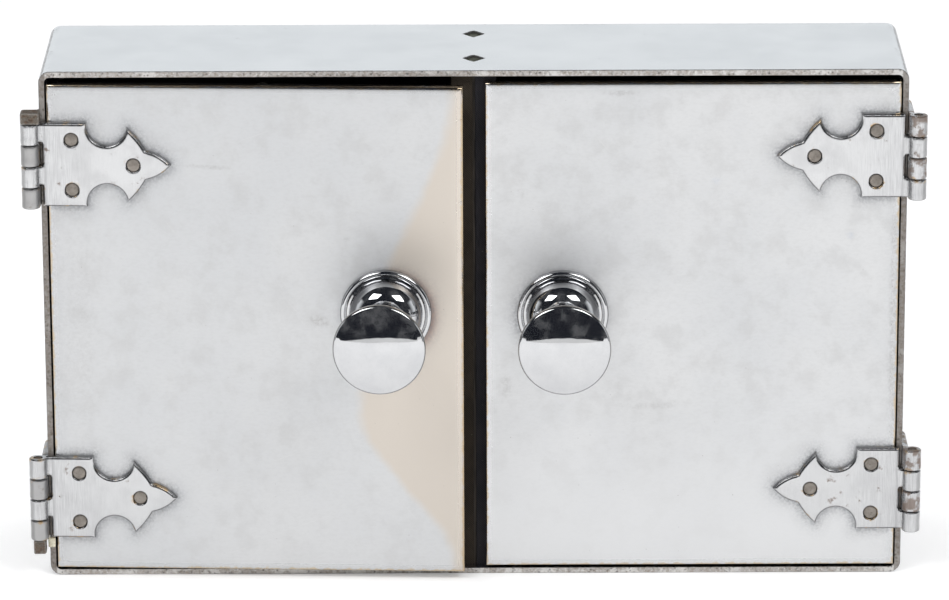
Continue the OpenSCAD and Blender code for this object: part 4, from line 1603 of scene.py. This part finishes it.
@dataclass
class Hinge:
    """A butterfly hinge, drawn about its barrel: Z is the axis and the door leaf runs along +X."""

    axis_x: float = 155.7
    axis_y: float = -36.0
    height: float = 30.6
    leaf_t: float = 2.2
    barrel_r: float = 3.2
    pin_r: float = 1.6
    pin_gap: float = 0.05
    knuckle_gap: float = 0.3
    knuckles: int = 4
    leaf_start: float = 4.1
    tab_end: float = 1.3
    leaf_straight: float = 19.8
    scallop: Point = (26.85, 14.2)
    scallop_r: float = 7.1
    scallop_end: float = 354.3
    notch: Point = (40.4, 5.4)
    tip_u: float = 49.4
    barb_bulge: float = 0.45
    tip_bulge: float = 0.9
    rivet_d: float = 4.7
    rivet_gap: float = 0.1
    rivet_sunk: float = 0.4
    tail_d: float = 6.4
    tail_h: float = 0.9
    door_sheet: float = 1.2
    near_rivet_u: float = 14.4
    tip_rivet_u: float = 36.1
    rivet_rise: float = 9.1
    knuckle_edge: float = 0.45
    knuckle_wear: float = 0.03
    pin_short: float = 0.25
    pin_chamfer: float = 0.35
    roll: float = 1.15
    hole_roll: float = 0.5

    @staticmethod
    def heights(side: Side) -> dict[Level, float]:
        """The height of each hinge's middle on one side, from its side leaf's box."""
        found = {level: span(f"{level.value}_{side.word}_side_leaf") for level in Level}
        return {level: (low.z + high.z) / 2 for level, (low, high) in found.items()}

    def rivet_places(self) -> list[Point]:
        """Distance from the axis and height above the hinge's middle, of each rivet."""
        return [(self.near_rivet_u, self.rivet_rise), (self.near_rivet_u, -self.rivet_rise),
                (self.tip_rivet_u, 0.0)]

    def knuckle(self, index: int) -> tuple[float, float]:
        """The lowest and highest point of a knuckle, counted from the top.

        Args:
            index: The knuckle.

        Returns:
            Its two ends, measured from the hinge's middle.
        """
        tall = (self.height - (self.knuckles - 1) * self.knuckle_gap) / self.knuckles
        top = self.height / 2 - index * (tall + self.knuckle_gap)
        return top - tall, top

    def upright(self) -> Matrix:
        """Stands a flat-drawn piece up: its face to the front, and its back barrel_r behind the axis."""
        return Matrix(((1, 0, 0, 0), (0, 0, -1, self.barrel_r), (0, 1, 0, 0), (0, 0, 0, 1)))

    def half_outline(self) -> list[Point]:
        """The upper half of a leaf, from the barrel to the tip: straight, scallop, barb, notch, tip.

        Returns:
            Its points in order.
        """
        half = self.height / 2
        u = self.scallop[0]
        first = math.degrees(math.acos((self.leaf_straight - u) / self.scallop_r))
        scallop = arc(self.scallop, self.scallop_r, first, self.scallop_end, 36)
        return [(self.leaf_start, half), (self.leaf_straight, half), *scallop,
                *bulge(scallop[-1], self.notch, self.barb_bulge)[1:],
                *bulge(self.notch, (self.tip_u, 0.0), self.tip_bulge)[1:]]

    def outline(self, own: Sequence[int] = ()) -> list[Point]:
        """A leaf's outline with the tabs that roll into its own knuckles.

        Args:
            own: The knuckles that it has.

        Returns:
            The outline.
        """
        half = self.half_outline()
        tabs = []
        for index in own:
            low, high = self.knuckle(index)
            tabs += [(self.leaf_start, high), (self.tab_end, high),
                     (self.tab_end, low), (self.leaf_start, low)]
        return [(u, -v) for u, v in half[:-1]] + half[::-1] + tabs

    def leaf(self, own: Sequence[int], bore_r: float) -> Shape:
        """A leaf with its knuckles.

        Args:
            own: The knuckles that it has.
            bore_r: Radius of their bore.

        Returns:
            The leaf, whose back is barrel_r behind the axis.
        """
        holes = [arc(p, self.rivet_d / 2 + self.rivet_gap, 0, 352, 44) for p in self.rivet_places()]
        flat = Cutting(self.outline(own), self.leaf_t, holes, roll=self.roll, hole_roll=self.hole_roll,
                       back_roll=0.1, step=0.6, cell=2.0, dents=0.04, seed=sum(own) + bore_r).shape()
        made = flat.moved(self.upright())
        for index in own:
            made = made + self.barrel(*self.knuckle(index), bore_r)
        return made

    def barrel(self, low: float, high: float, bore_r: float) -> Shape:
        """One knuckle: a tube with rounded ends, worn a little hollow.

        Args:
            low: Its lowest point.
            high: Its highest point.
            bore_r: Radius of the bore.

        Returns:
            The knuckle.
        """
        r, edge = self.barrel_r, self.knuckle_edge
        heights = np.linspace(low + edge, high - edge, 9)[1:-1]
        middle = (low + high) / 2
        outer = [(r - self.knuckle_wear * math.cos((z - middle) * 1.1), float(z)) for z in heights]
        profile = [(bore_r, low + 0.1), (bore_r + 0.1, low), *arc((r - edge, low + edge), edge, -90, 0, 5),
                   *outer, *arc((r - edge, high - edge), edge, 0, 90, 5), (bore_r + 0.1, high),
                   (bore_r, high - 0.1)]
        wear = [0.0 if abs(z - middle) > (high - low) / 2 - edge else
                (high - low) / 2 - edge - abs(z - middle) for _, z in profile]
        return lathe(profile, 64, True, wear)

    def pin(self) -> Shape:
        """The pin, a little short of the barrel's ends.

        Returns:
            The pin, drawn about the barrel.
        """
        end, r, chamfer = self.height / 2 - self.pin_short, self.pin_r, self.pin_chamfer
        low = [(0, -end), (r - chamfer, -end), (r, -end + chamfer)]
        return lathe([*low, *[(x, -z) for x, z in low[::-1]]], 40)

    def rivets(self, sheet: float, seed: float) -> Shape:
        """A leaf's three rivets, with their tails behind the sheet that they hold.

        Args:
            sheet: Thickness of the sheet behind the leaf.
            seed: What makes their dents their own.

        Returns:
            The rivets, in the leaf's place.
        """
        r, top, tail = self.rivet_d / 2, self.leaf_t - self.rivet_sunk, self.tail_d / 2
        profile = [(0, -sheet - self.tail_h), (tail - 0.7, -sheet - self.tail_h),
                   (tail - 0.3, -sheet - self.tail_h * 0.7), (tail, -sheet - 0.05), (tail - 0.1, -sheet),
                   (r, -sheet), *arc((r - 0.3, top - 0.35), 0.3, 0, 90, 4), (r * 0.72, top - 0.02),
                   (r * 0.5, top), (r * 0.25, top + 0.02), (0, top + 0.02)]
        made = None
        for index, (u, v) in enumerate(self.rivet_places()):
            one = lathe(profile, 40)
            dent = np.clip(wavy(one.points, 1.3, seed + index), -1, 1)[:, None] * np.array([0, 0, 0.09])
            one.points += dent * (one.points[:, 2:3] > top - 0.2)
            one = one.moved(Matrix.Translation((u, v, 0)))
            made = one if made is None else made + one
        return made.moved(self.upright())

    def place(self, side: Side, z: float) -> Matrix:
        """Where a hinge goes: the right ones are turned half round in the plane of the doors."""
        made = Matrix.Translation((side.value * self.axis_x, self.axis_y, z))
        return made if side is Side.LEFT else made @ Matrix.Rotation(math.pi, 4, "Y")

    def make(self, side: Side, level: Level, case: Case, turn: Matrix | None) -> None:
        """Makes one hinge.

        Args:
            side: The side that it is on.
            level: Upper or lower.
            case: The case, for its sheet.
            turn: How the door is turned.
        """
        z = self.heights(side)[level]
        place, swap = self.place(side, z), Matrix(((0, 1, 0, 0), (1, 0, 0, 0), (0, 0, 1, 0), (0, 0, 0, 1)))
        word = f"{level.value}_{side.word}"
        door = f"{side.word}_door"
        seed = side.value * 3 + (1 if level is Level.UPPER else 7)
        fit(self.leaf((0, 2), self.pin_r + self.pin_gap).moved(place), f"{word}_door_leaf_metal",
            LeafPlating(), door, [f"{word}_door_leaf"], turn)
        fit(self.leaf((1, 3), self.pin_r).moved(place @ swap), f"{word}_side_leaf_metal",
            LeafPlating(brushed=side is Side.LEFT, stained=side is Side.RIGHT), "case", [f"{word}_side_leaf"])
        fit(self.rivets(self.door_sheet, seed).moved(place), f"{word}_door_rivet_set", DullMetal(), door,
            [f"{word}_door_rivets"], turn)
        fit(self.rivets(case.sheet, seed + 20).moved(place @ swap), f"{word}_side_rivet_set", DullMetal(),
            "case", [f"{word}_side_rivets"])
        pin = self.pin().moved(place)
        if side is Side.LEFT:
            pin = pin + self.pin_head(level, z)
        fit(pin, f"{word}_pin_iron", CorrodedIron(), "case", [f"{word}_hinge_pin"])

    def pin_head(self, level: Level, z: float) -> Shape:
        """The square head of a left pin: on top of the upper one and under the lower one.

        Args:
            level: Upper or lower.
            z: Height of the hinge's middle.

        Returns:
            The head.
        """
        half = self.height / 2
        low, high = span(f"{level.value}_left_hinge_pin")
        if level is Level.UPPER:
            return WornBlock((low.x, low.y, z + half), tuple(high), corner=0.7, seed=4).shape()
        return WornBlock(tuple(low), (high.x, high.y, z - half), corner=0.7, seed=9).shape()


@dataclass
class Door:
    """A folded door: a front sheet with a flange on each edge, mitred at the corners."""

    side: Side
    free_x: float = 3.85
    hinge_x: float = 150.0
    front_y: float = -32.8
    sheet: float = 1.2
    depth: float = 4.2
    knob_x: float = 31.25
    rose_r: float = 16.25
    screw_hole_r: float = 2.15
    ripple: float = 0.05
    fold_r: float = 0.6
    # Angle in degrees round the rose where its painted shadow is darkest.
    rose_shadow_angle: float = -140.0
    low_z: float = field(init=False)
    high_z: float = field(init=False)
    knob: Point = field(init=False)

    def __post_init__(self) -> None:
        """Takes the door's height and its knob's from the frame."""
        low, high = span(f"{self.side.word}_door_panel")
        self.low_z, self.high_z = low.z, high.z
        low, high = span(f"{self.side.word}_knob_rose")
        self.knob = (self.knob_x, (low.z + high.z) / 2)

    def finish(self) -> DoorPlating:
        """The door's plating with its own marks.

        Returns:
            The finish.
        """
        if self.side is Side.LEFT:
            return DoorPlating(side=self.side, marks=(
                Mark(-54.6, 96.9, 5.0, 4.0, 0, 0.55), Mark(-45.0, 127.2, 2.2, 1.6, 20, 0.45),
                Mark(-92.0, 152.8, 11.0, 1.2, -3, 0.35), Mark(-140.0, 95.0, 9.0, 60.0, 0, 0.16),
            ))
        return DoorPlating(side=self.side, plate=(0.735, 0.74, 0.745), low_gain=0.7, marks=(
            Mark(10.8, 70.9, 3.4, 6.0, 0, 0.3), Mark(16.4, 141.8, 1.8, 2.6, 15, 0.3),
            Mark(66.0, 63.6, 16.0, 2.2, 4, 0.22), Mark(51.0, 178.6, 8.0, 1.4, 0, 0.4),
            Mark(148.6, 92.0, 2.4, 80.0, 0, 0.5),
        ), blue_marks=(Mark(84.9, 146.6, 2.6, 1.8, 0, 0.3), Mark(132.6, 126.5, 2.0, 2.4, 0, 0.25)))

    def grime_and_shade_at(self, flat: np.ndarray, hinge: Hinge, heights: Sequence[float]) -> np.ndarray:
        """How dirty the face is, with painted shade, at each point: round the leaves, round the rose, along
        the hinged edge and along the top and bottom.

        Args:
            flat: Points of the face, one row of x and z each.
            hinge: The hinge, for its leaf's outline.
            heights: The heights of the hinges' middles.

        Returns:
            Dirt and painted shade at each point from 0 to 1.
        """
        leaf = np.array(hinge.outline())
        # Darker along the hinged edge, next to the case.
        dirt = 0.55 * np.exp(-(self.hinge_x - flat[:, 0]) / 2.2)
        # Halos round the leaves: dirt, with painted contact shade in them.
        for z in heights:
            local = np.c_[hinge.axis_x - flat[:, 0], flat[:, 1] - z]
            near = np.where(inside(local, [leaf]), 0.0, distance_to(local, leaf))
            dirt = np.maximum(dirt, 0.95 * np.exp(-(near / 2.3) ** 1.2))
        # Painted shadow round the rose, darkest towards one side and faint all round.
        across, up = flat[:, 0] - self.knob[0], flat[:, 1] - self.knob[1]
        rose = np.maximum(np.hypot(across, up) - self.rose_r, 0)
        shadow_angle = math.radians(self.rose_shadow_angle)
        shaded_side = 0.5 + 0.5 * np.cos(np.arctan2(up, across) - shadow_angle)
        dirt = np.maximum(dirt, (0.15 + 0.75 * shaded_side) * np.exp(-(rose / 2.4) ** 1.1))
        # Painted shade along the top and bottom edges.
        edges = np.minimum(flat[:, 1] - self.low_z, self.high_z - flat[:, 1])
        return np.clip(np.maximum(dirt, 0.35 * np.exp(-edges / 1.5)), 0, 1)

    def face_points(self, hinge: Hinge, heights: Sequence[float], loops: list[np.ndarray]) -> np.ndarray:
        """Points over the face: a grid, and closer rings round the leaves and the rose.

        Args:
            hinge: The hinge, for its leaf's outline.
            heights: The heights of the hinges' middles.
            loops: The outline and then the holes.

        Returns:
            The points, one row each.
        """
        rows = []
        for z in heights:
            loop = stepped([(hinge.axis_x - u, z + v) for u, v in hinge.outline()], 1.5)
            rows += [inset(loop, -gap) for gap in (0.15, 0.9, 2.0, 3.6)]
        for gap in (-0.5, 0.4, 1.5, 3.0, 5.5, 9.0):
            rows.append(np.array(arc(self.knob, self.rose_r + gap, 0, 355, 71)))
        near = np.vstack(rows)
        xs = np.arange(self.free_x + 3, self.hinge_x - 2, 3.0)
        zs = np.arange(self.low_z + 3, self.high_z - 2, 3.0)
        grid = np.array([(x, z) for x in xs for z in zs])
        gap = np.concatenate([np.min(np.linalg.norm(part[:, None] - near[None], axis=2), axis=1)
                              for part in np.array_split(grid, 8)])
        found = np.vstack([near, grid[gap > 1.2]])
        edge = np.min([distance_to(found, loop) for loop in loops], axis=0)
        return found[inside(found, loops) & (edge > 0.5)]

    def face(self, hinge: Hinge, heights: Sequence[float], rim: np.ndarray) -> Net:
        """The front sheet inside its folds, with the holes for the rivets and the knob's screw.

        Args:
            hinge: The hinge, for its leaves' outline and rivets.
            heights: The heights of the hinges' middles.
            rim: The loop where the folds start.

        Returns:
            The net, in x and z.
        """
        holes = [arc((hinge.axis_x - u, z + v), hinge.rivet_d / 2 + hinge.rivet_gap, 0, 345, 23)
                 for z in heights for u, v in hinge.rivet_places()]
        holes.append(arc(self.knob, self.screw_hole_r, 0, 345, 23))
        loops = [rim] + [stepped(hole, 1.0, material_left=False) for hole in holes]
        return Net.over(loops, self.face_points(hinge, heights, loops))

    def flange(self) -> list[Point]:
        """The folded edge's section: round the fold, back along the flange, and round its end.

        Returns:
            How far out and how deep each point of the section is.
        """
        fold, deep = self.sheet, self.depth
        return [*[(fold - self.fold_r * (1 - math.sin(a)), self.fold_r * (1 - math.cos(a)))
                  for a in np.radians([0, 18, 36, 54, 72, 90])],
                (fold, deep - 0.9), (fold, deep - 0.3), (fold - 0.1, deep - 0.1), (fold - 0.3, deep),
                (0.3, deep), (0.1, deep - 0.1), (0.0, deep - 0.3), (0.0, deep - 1.2)]

    def pan(self, hinge: Hinge, heights: Sequence[float]) -> Shape:
        """The folded pan, drawn as the right door and mirrored for the left.

        Args:
            hinge: The hinge, for its leaves' outline and rivets.
            heights: The heights of the hinges' middles.

        Returns:
            The pan where it is with the doors closed.
        """
        fold = self.sheet
        x0, x1, z0, z1 = self.free_x + fold, self.hinge_x - fold, self.low_z + fold, self.high_z - fold
        rim = stepped(rectangle(x0, x1, z0, z1), 2.2)
        net = self.face(hinge, heights, rim)
        flat, count = net.points, len(net.points)
        edge = distance_to(flat, rim)
        wave = 0.5 + 0.5 * wavy(np.c_[flat[:, 0], flat[:, 1], 0 * edge], 26.0, 3.0 * self.side.value)
        wave = self.ripple * np.clip(wave, 0, 1) * np.clip(edge / 8, 0, 1)
        grime_and_shade = self.grime_and_shade_at(flat, hinge, heights)
        front = np.c_[flat[:, 0], self.front_y + wave, flat[:, 1]]
        back = np.c_[flat[:, 0], np.full(count, self.front_y + self.sheet), flat[:, 1]]
        # The third list holds each point's dirt and painted shade: the face's from its mask, none on the
        # back, 0.3 on the folds.
        points, worn, dirt = [front, back], [edge + fold, np.full(count, FAR)], [grime_and_shade, 0 * grime_and_shade]
        faces: list[tuple[int, ...]] = list(net.triangles)
        faces += [tuple(i + count for i in reversed(t)) for t in net.triangles]
        for row in net.loops[1:]:
            for i, j in zip(row, row[1:] + row[:1]):
                faces.append((i + count, j + count, j, i))
        outer = net.loops[0]
        base = flat[outer]
        out = np.c_[np.where(base[:, 0] <= x0 + 1e-6, -1, np.where(base[:, 0] >= x1 - 1e-6, 1, 0)),
                    np.where(base[:, 1] <= z0 + 1e-6, -1, np.where(base[:, 1] >= z1 - 1e-6, 1, 0))]
        rows = [outer]
        total = 2 * count
        for push, deep in self.flange():
            ring = base + out * push
            rough = 0.03 * wavy(np.c_[ring, np.full(len(ring), deep)], 3.0, 2.0 + self.side.value)
            ring = ring - out * np.abs(rough)[:, None]
            points.append(np.c_[ring[:, 0], np.full(len(ring), self.front_y + deep), ring[:, 1]])
            worn.append(np.full(len(ring), max(0.0, fold - push if deep < fold else self.depth - deep)))
            dirt.append(np.full(len(ring), 0.3))
            rows.append(list(range(total, total + len(ring))))
            total += len(ring)
        rows.append([i + count for i in outer])
        for low, high in zip(rows, rows[1:]):
            for k in range(len(outer)):
                m = (k + 1) % len(outer)
                faces.append((low[m], low[k], high[k], high[m]))
        made = Shape(np.vstack(points), faces, np.concatenate(worn), np.concatenate(dirt))
        return made if self.side is Side.RIGHT else made.moved(Matrix.Diagonal((-1, 1, 1, 1)))

    def make(self, hinge: Hinge, heights: Sequence[float], turn: Matrix | None) -> None:
        """Makes the door's pan and dresses its lining.

        Args:
            hinge: The hinge, for its leaves' outline and rivets.
            heights: The heights of the hinges' middles.
            turn: How the door is turned.
        """
        word = f"{self.side.word}_door"
        fit(self.pan(hinge, heights), f"{word}_pan", self.finish(), word, [f"{word}_panel"], turn)
        dress(f"{word}_lining", Cloth(), 0.2)


@dataclass
class Knob:
    """A turned knob: rose, stem and head, drawn about Z with the door's face at 0."""

    rose_r: float = 16.25
    rim_h: float = 2.6
    rim_edge: float = 1.3
    dome_r: float = 13.1
    dome_power: float = 1.16
    groove: float = 0.5
    rose_h: float = 10.0
    neck_r: float = 6.7
    stem_r: float = 5.5
    stem_top: float = 38.0
    flare_r: float = 8.5
    flare_h: float = 6.0
    head_r: float = 16.2
    head_edge: float = 1.3
    taper_h: float = 3.0
    head_rim_h: float = 3.0
    dome_sphere_r: float = 37.0
    bore_r: float = 2.15

    def rose(self) -> Shape:
        """The rose: a rounded rim, a groove, and a dome that rises to the stem.

        Returns:
            The rose.
        """
        inner = self.rose_r - 2 * self.rim_edge
        profile = [(self.bore_r, 0), (self.rose_r - 0.3, 0), (self.rose_r, 0.3),
                   *arc((self.rose_r - self.rim_edge, self.rim_h - self.rim_edge), self.rim_edge, 0, 150, 20),
                   (self.dome_r + 0.1, self.rim_h - self.groove),
                   *[(self.neck_r + (self.dome_r - self.neck_r) * math.cos(t) ** self.dome_power,
                      self.rim_h + (self.rose_h - self.rim_h) * math.sin(t) ** self.dome_power)
                     for t in np.linspace(0, math.pi / 2, 31)],
                   (self.bore_r, self.rose_h)]
        wear = [0.0 if abs(r - inner) < 0.2 else 1.5 for r, _ in profile]
        return lathe(profile, 128, True, wear)

    def stem(self) -> Shape:
        """The stem: a small foot, a straight neck, and a flare under the head.

        Returns:
            The stem.
        """
        foot_r = self.neck_r - 0.3
        profile = [(0, self.rose_h), (foot_r, self.rose_h),
                   *arc((foot_r, self.rose_h + 4), (foot_r - self.stem_r, 3.0), -90, -180, 8),
                   *arc((self.flare_r, self.stem_top - self.flare_h),
                        (self.flare_r - self.stem_r, self.flare_h), 180, 90, 14),
                   (0, self.stem_top)]
        return lathe(profile, 96)

    def head(self) -> Shape:
        """The head: a taper, a rim rounded on both edges, and a domed face.

        Returns:
            The head.
        """
        rim = self.head_r - self.head_edge
        low = self.stem_top + self.taper_h
        high = low + self.head_rim_h
        sag = self.dome_sphere_r - math.sqrt(self.dome_sphere_r ** 2 - rim ** 2)
        centre = high + sag - self.dome_sphere_r
        radii = [rim * (1 - i / 28) for i in range(1, 29)]
        dome = [(r, centre + math.sqrt(self.dome_sphere_r ** 2 - r * r)) for r in radii]
        profile = [(0, self.stem_top), (self.flare_r, self.stem_top),
                   (self.flare_r + 0.4, self.stem_top + 0.1),
                   (rim - 0.2, low - 0.1), *arc((rim, low + self.head_edge), self.head_edge, -80, 0, 8),
                   *arc((rim, high - self.head_edge), self.head_edge, 0, 62, 8), *dome]
        wear = [abs(r - self.head_r) if high - 0.6 > z > low else 3.0 for r, z in profile]
        return lathe(profile, 128, False, wear)

    def make(self, door: Door, turn: Matrix | None) -> None:
        """Makes one door's knob.

        Args:
            door: The door that it is on.
            turn: How the door is turned.
        """
        word = door.side.word
        place = Matrix.Translation((door.side.value * door.knob[0], door.front_y, door.knob[1]))
        place = place @ Matrix.Rotation(math.pi / 2, 4, "X")
        for part, shape in (("rose", self.rose()), ("stem", self.stem()), ("head", self.head())):
            fit(shape.moved(place), f"{word}_knob_{part}_chrome", KnobChrome(), f"{word}_door",
                [f"{word}_knob_{part}"], turn)
        steel = DullMetal("screw_steel", metal=(0.52, 0.51, 0.49), dirt=(0.16, 0.12, 0.09),
                          roughness=0.34, pit_size=0.9)
        dress(f"{word}_knob_screw", steel, 0.12)
        dress(f"{word}_knob_washer", steel, 0.12)


# ---------------- studio


@dataclass
class Studio:
    """A pale floor, a soft dome, two soft boxes and the camera. Sizes here are in metres."""

    floor_size: float = 12.0
    floor_tone: Colour = (0.90, 0.90, 0.905)
    floor_grain: Colour = (0.80, 0.80, 0.80)
    floor_end: float = 1.25
    floor_glow: float = 0.22
    dome: float = 0.80
    upper_dark: Colour = (0.011, 0.013, 0.019)
    low_light: Colour = (0.80, 0.80, 0.80)
    horizon: float = 0.008
    horizon_bow: float = 0.25
    horizon_blur: float = 0.012
    horizon_wobble: float = 0.04
    back_top: tuple[float, float] = (0.5, 0.38)
    floor_narrows: float = 0.9
    back_light: Colour = (0.90, 0.925, 0.945)
    box_distance: float = 1.35
    box_size: tuple[float, float] = (0.62, 0.5)
    box_power: float = 5.0
    camera_distance: float = 2.067
    camera_tilt: float = 17.2
    camera_aim: tuple[float, float, float] = (0.0, -0.0325, 0.1028)
    camera_roll: float = -0.2
    lens: float = 221.5

    def light_world(self) -> None:
        """A white ground for the camera, a white dome for soft light, and a darker room in reflections."""
        world = bpy.data.worlds.new("studio")
        world.use_nodes = True
        bpy.context.scene.world = world
        g = Graph(world.node_tree)
        back = world.node_tree.nodes["Background"]
        around = g.add("TexCoord").outputs["Generated"]
        x, y, z = g.parts(around)
        behind = g.ramp(g.plus(y, g.times(g.math("ABSOLUTE", x), 0.25)), -0.25, 0.3)
        wobble = g.times(g.noise(g.scaled(around, 5, 5, 0), 1.0), self.horizon_wobble)
        bowed = g.times(g.times(x, x), self.horizon_bow)
        height = g.plus(g.plus(z, bowed), wobble)
        below = g.ramp(height, self.horizon + self.horizon_blur, self.horizon)
        room = g.mix(below, self.upper_dark, self.low_light)
        room = g.mix(g.times(behind, g.ramp(z, *self.back_top)), room, self.back_light)
        path = g.add("LightPath")
        room = g.mix(path.outputs["Is Diffuse Ray"], room, (self.dome,) * 3)
        room = g.mix(path.outputs["Is Camera Ray"], room, (1.0, 1.0, 1.0))
        g.feed(back.inputs["Color"], room)

    def lay_floor(self) -> None:
        """The floor, which ends in front of the cabinet as far as reflections go."""
        half = self.floor_size / 2
        mesh = bpy.data.meshes.new("floor")
        mesh.from_pydata([(-half, -half, 0), (half, -half, 0), (half, half, 0), (-half, half, 0)], [],
                         [(0, 1, 2, 3)])
        floor = bpy.data.objects.new("floor", mesh)
        bpy.context.scene.collection.objects.link(floor)
        paint = bpy.data.materials.new("floor")
        paint.use_nodes = True
        g = Graph(paint.node_tree)
        skin = paint.node_tree.nodes["Principled BSDF"]
        place = g.add("TexCoord").outputs["Object"]
        grain = g.noise(place, 40.0, 3.0)
        g.feed(skin.inputs["Base Color"], g.tint(self.floor_tone, self.floor_grain, grain, 0.03))
        skin.inputs["Roughness"].default_value = 0.9
        skin.inputs["Specular IOR Level"].default_value = 0.1
        x, y, _ = g.parts(place)
        wobble = g.times(g.noise(place, 1.4, 2.0), 0.12)
        wide = g.times(g.math("ABSOLUTE", x), self.floor_narrows)
        beyond = g.math("LESS_THAN", g.plus(g.minus(y, wide), wobble), -self.floor_end)
        path = g.add("LightPath")
        skin.inputs["Emission Color"].default_value = (1, 1, 1, 1)
        glow = g.times(path.outputs["Is Camera Ray"], self.floor_glow)
        g.feed(skin.inputs["Emission Strength"], glow)
        hidden = g.times(beyond, path.outputs["Is Glossy Ray"])
        g.feed(skin.inputs["Alpha"], g.minus(1.0, hidden))
        mesh.materials.append(paint)

    def hang_boxes(self) -> None:
        """Two soft boxes, in front and above, to the left and to the right."""
        target = Vector(self.camera_aim)
        for name, azimuth, elevation in (("left", -42.0, 44.0), ("right", 38.0, 42.0)):
            a, e = math.radians(azimuth), math.radians(elevation)
            away = Vector((math.sin(a) * math.cos(e), -math.cos(a) * math.cos(e), math.sin(e)))
            light = bpy.data.lights.new(f"{name}_soft_box", "AREA")
            light.shape = "RECTANGLE"
            light.size, light.size_y = self.box_size
            light.energy = self.box_power
            hung = bpy.data.objects.new(light.name, light)
            hung.location = target + away * self.box_distance
            hung.rotation_mode = "QUATERNION"
            hung.rotation_quaternion = (-away).to_track_quat("-Z", "Y")
            bpy.context.scene.collection.objects.link(hung)

    def place_camera(self) -> None:
        """The camera, in front and a little above, with a long lens."""
        tilt = math.radians(self.camera_tilt)
        back = Vector((0.0, -math.cos(tilt), math.sin(tilt)))
        data = bpy.data.cameras.new("camera")
        data.lens = self.lens
        data.sensor_width = 36.0
        data.clip_start, data.clip_end = 0.05, 50.0
        camera = bpy.data.objects.new("camera", data)
        camera.location = Vector(self.camera_aim) + back * self.camera_distance
        camera.rotation_mode = "QUATERNION"
        rolled = Matrix.Rotation(math.radians(self.camera_roll), 3, "Z").to_quaternion()
        camera.rotation_quaternion = (-back).to_track_quat("-Z", "Y") @ rolled
        bpy.context.scene.collection.objects.link(camera)
        bpy.context.scene.camera = camera

    def make(self) -> None:
        """Sets up everything round the cabinet."""
        self.place_camera()
        self.light_world()
        self.lay_floor()
        self.hang_boxes()
        bpy.context.scene.view_settings.view_transform = "Standard"
        LOG.info("studio: camera at %s", tuple(round(c, 3) for c in bpy.context.scene.camera.location))


# ---------------- the whole


def left_door_turn(hinge: Hinge) -> Matrix:
    """How the left door stands ajar at rest: its joint's lower limit is the closed door.

    Args:
        hinge: The hinge, for its axis.

    Returns:
        The turn, in millimetres.
    """
    joint = next(j for j in frame["joints"] if j["child"] == "left_door")
    ajar = math.radians(joint["range_deg"][0])
    axis = Matrix.Translation((-hinge.axis_x, hinge.axis_y, 0))
    return axis @ Matrix.Rotation(ajar, 4, "Z") @ axis.inverted()


def main() -> None:
    """Builds the studio and the cabinet in order."""
    logging.basicConfig(level=logging.INFO, format="%(name)s: %(message)s")
    Studio().make()
    case, hinge, knob = Case(), Hinge(), Knob()
    case.make(hinge)
    for compartment in ("left", "right"):
        for wall in ("side", "floor", "ceiling", "back"):
            dress(f"{compartment}_{wall}_lining", Cloth(), 0.2)
    for side, turn in ((Side.LEFT, left_door_turn(hinge)), (Side.RIGHT, None)):
        door = Door(side)
        door.make(hinge, list(hinge.heights(side).values()), turn)
        knob.make(door, turn)
        for level in Level:
            hinge.make(side, level, case, turn)
    low, high = span("lower_left_packing_shim")
    shim = WornBlock(tuple(low), tuple(high), corner=0.5, cuts=12, rough=0.12, seed=6.0)
    fit(shim.shape(), "lower_left_shim_crumb", Packing(), "case", ["lower_left_packing_shim"])


if __name__ == "__main__":
    main()
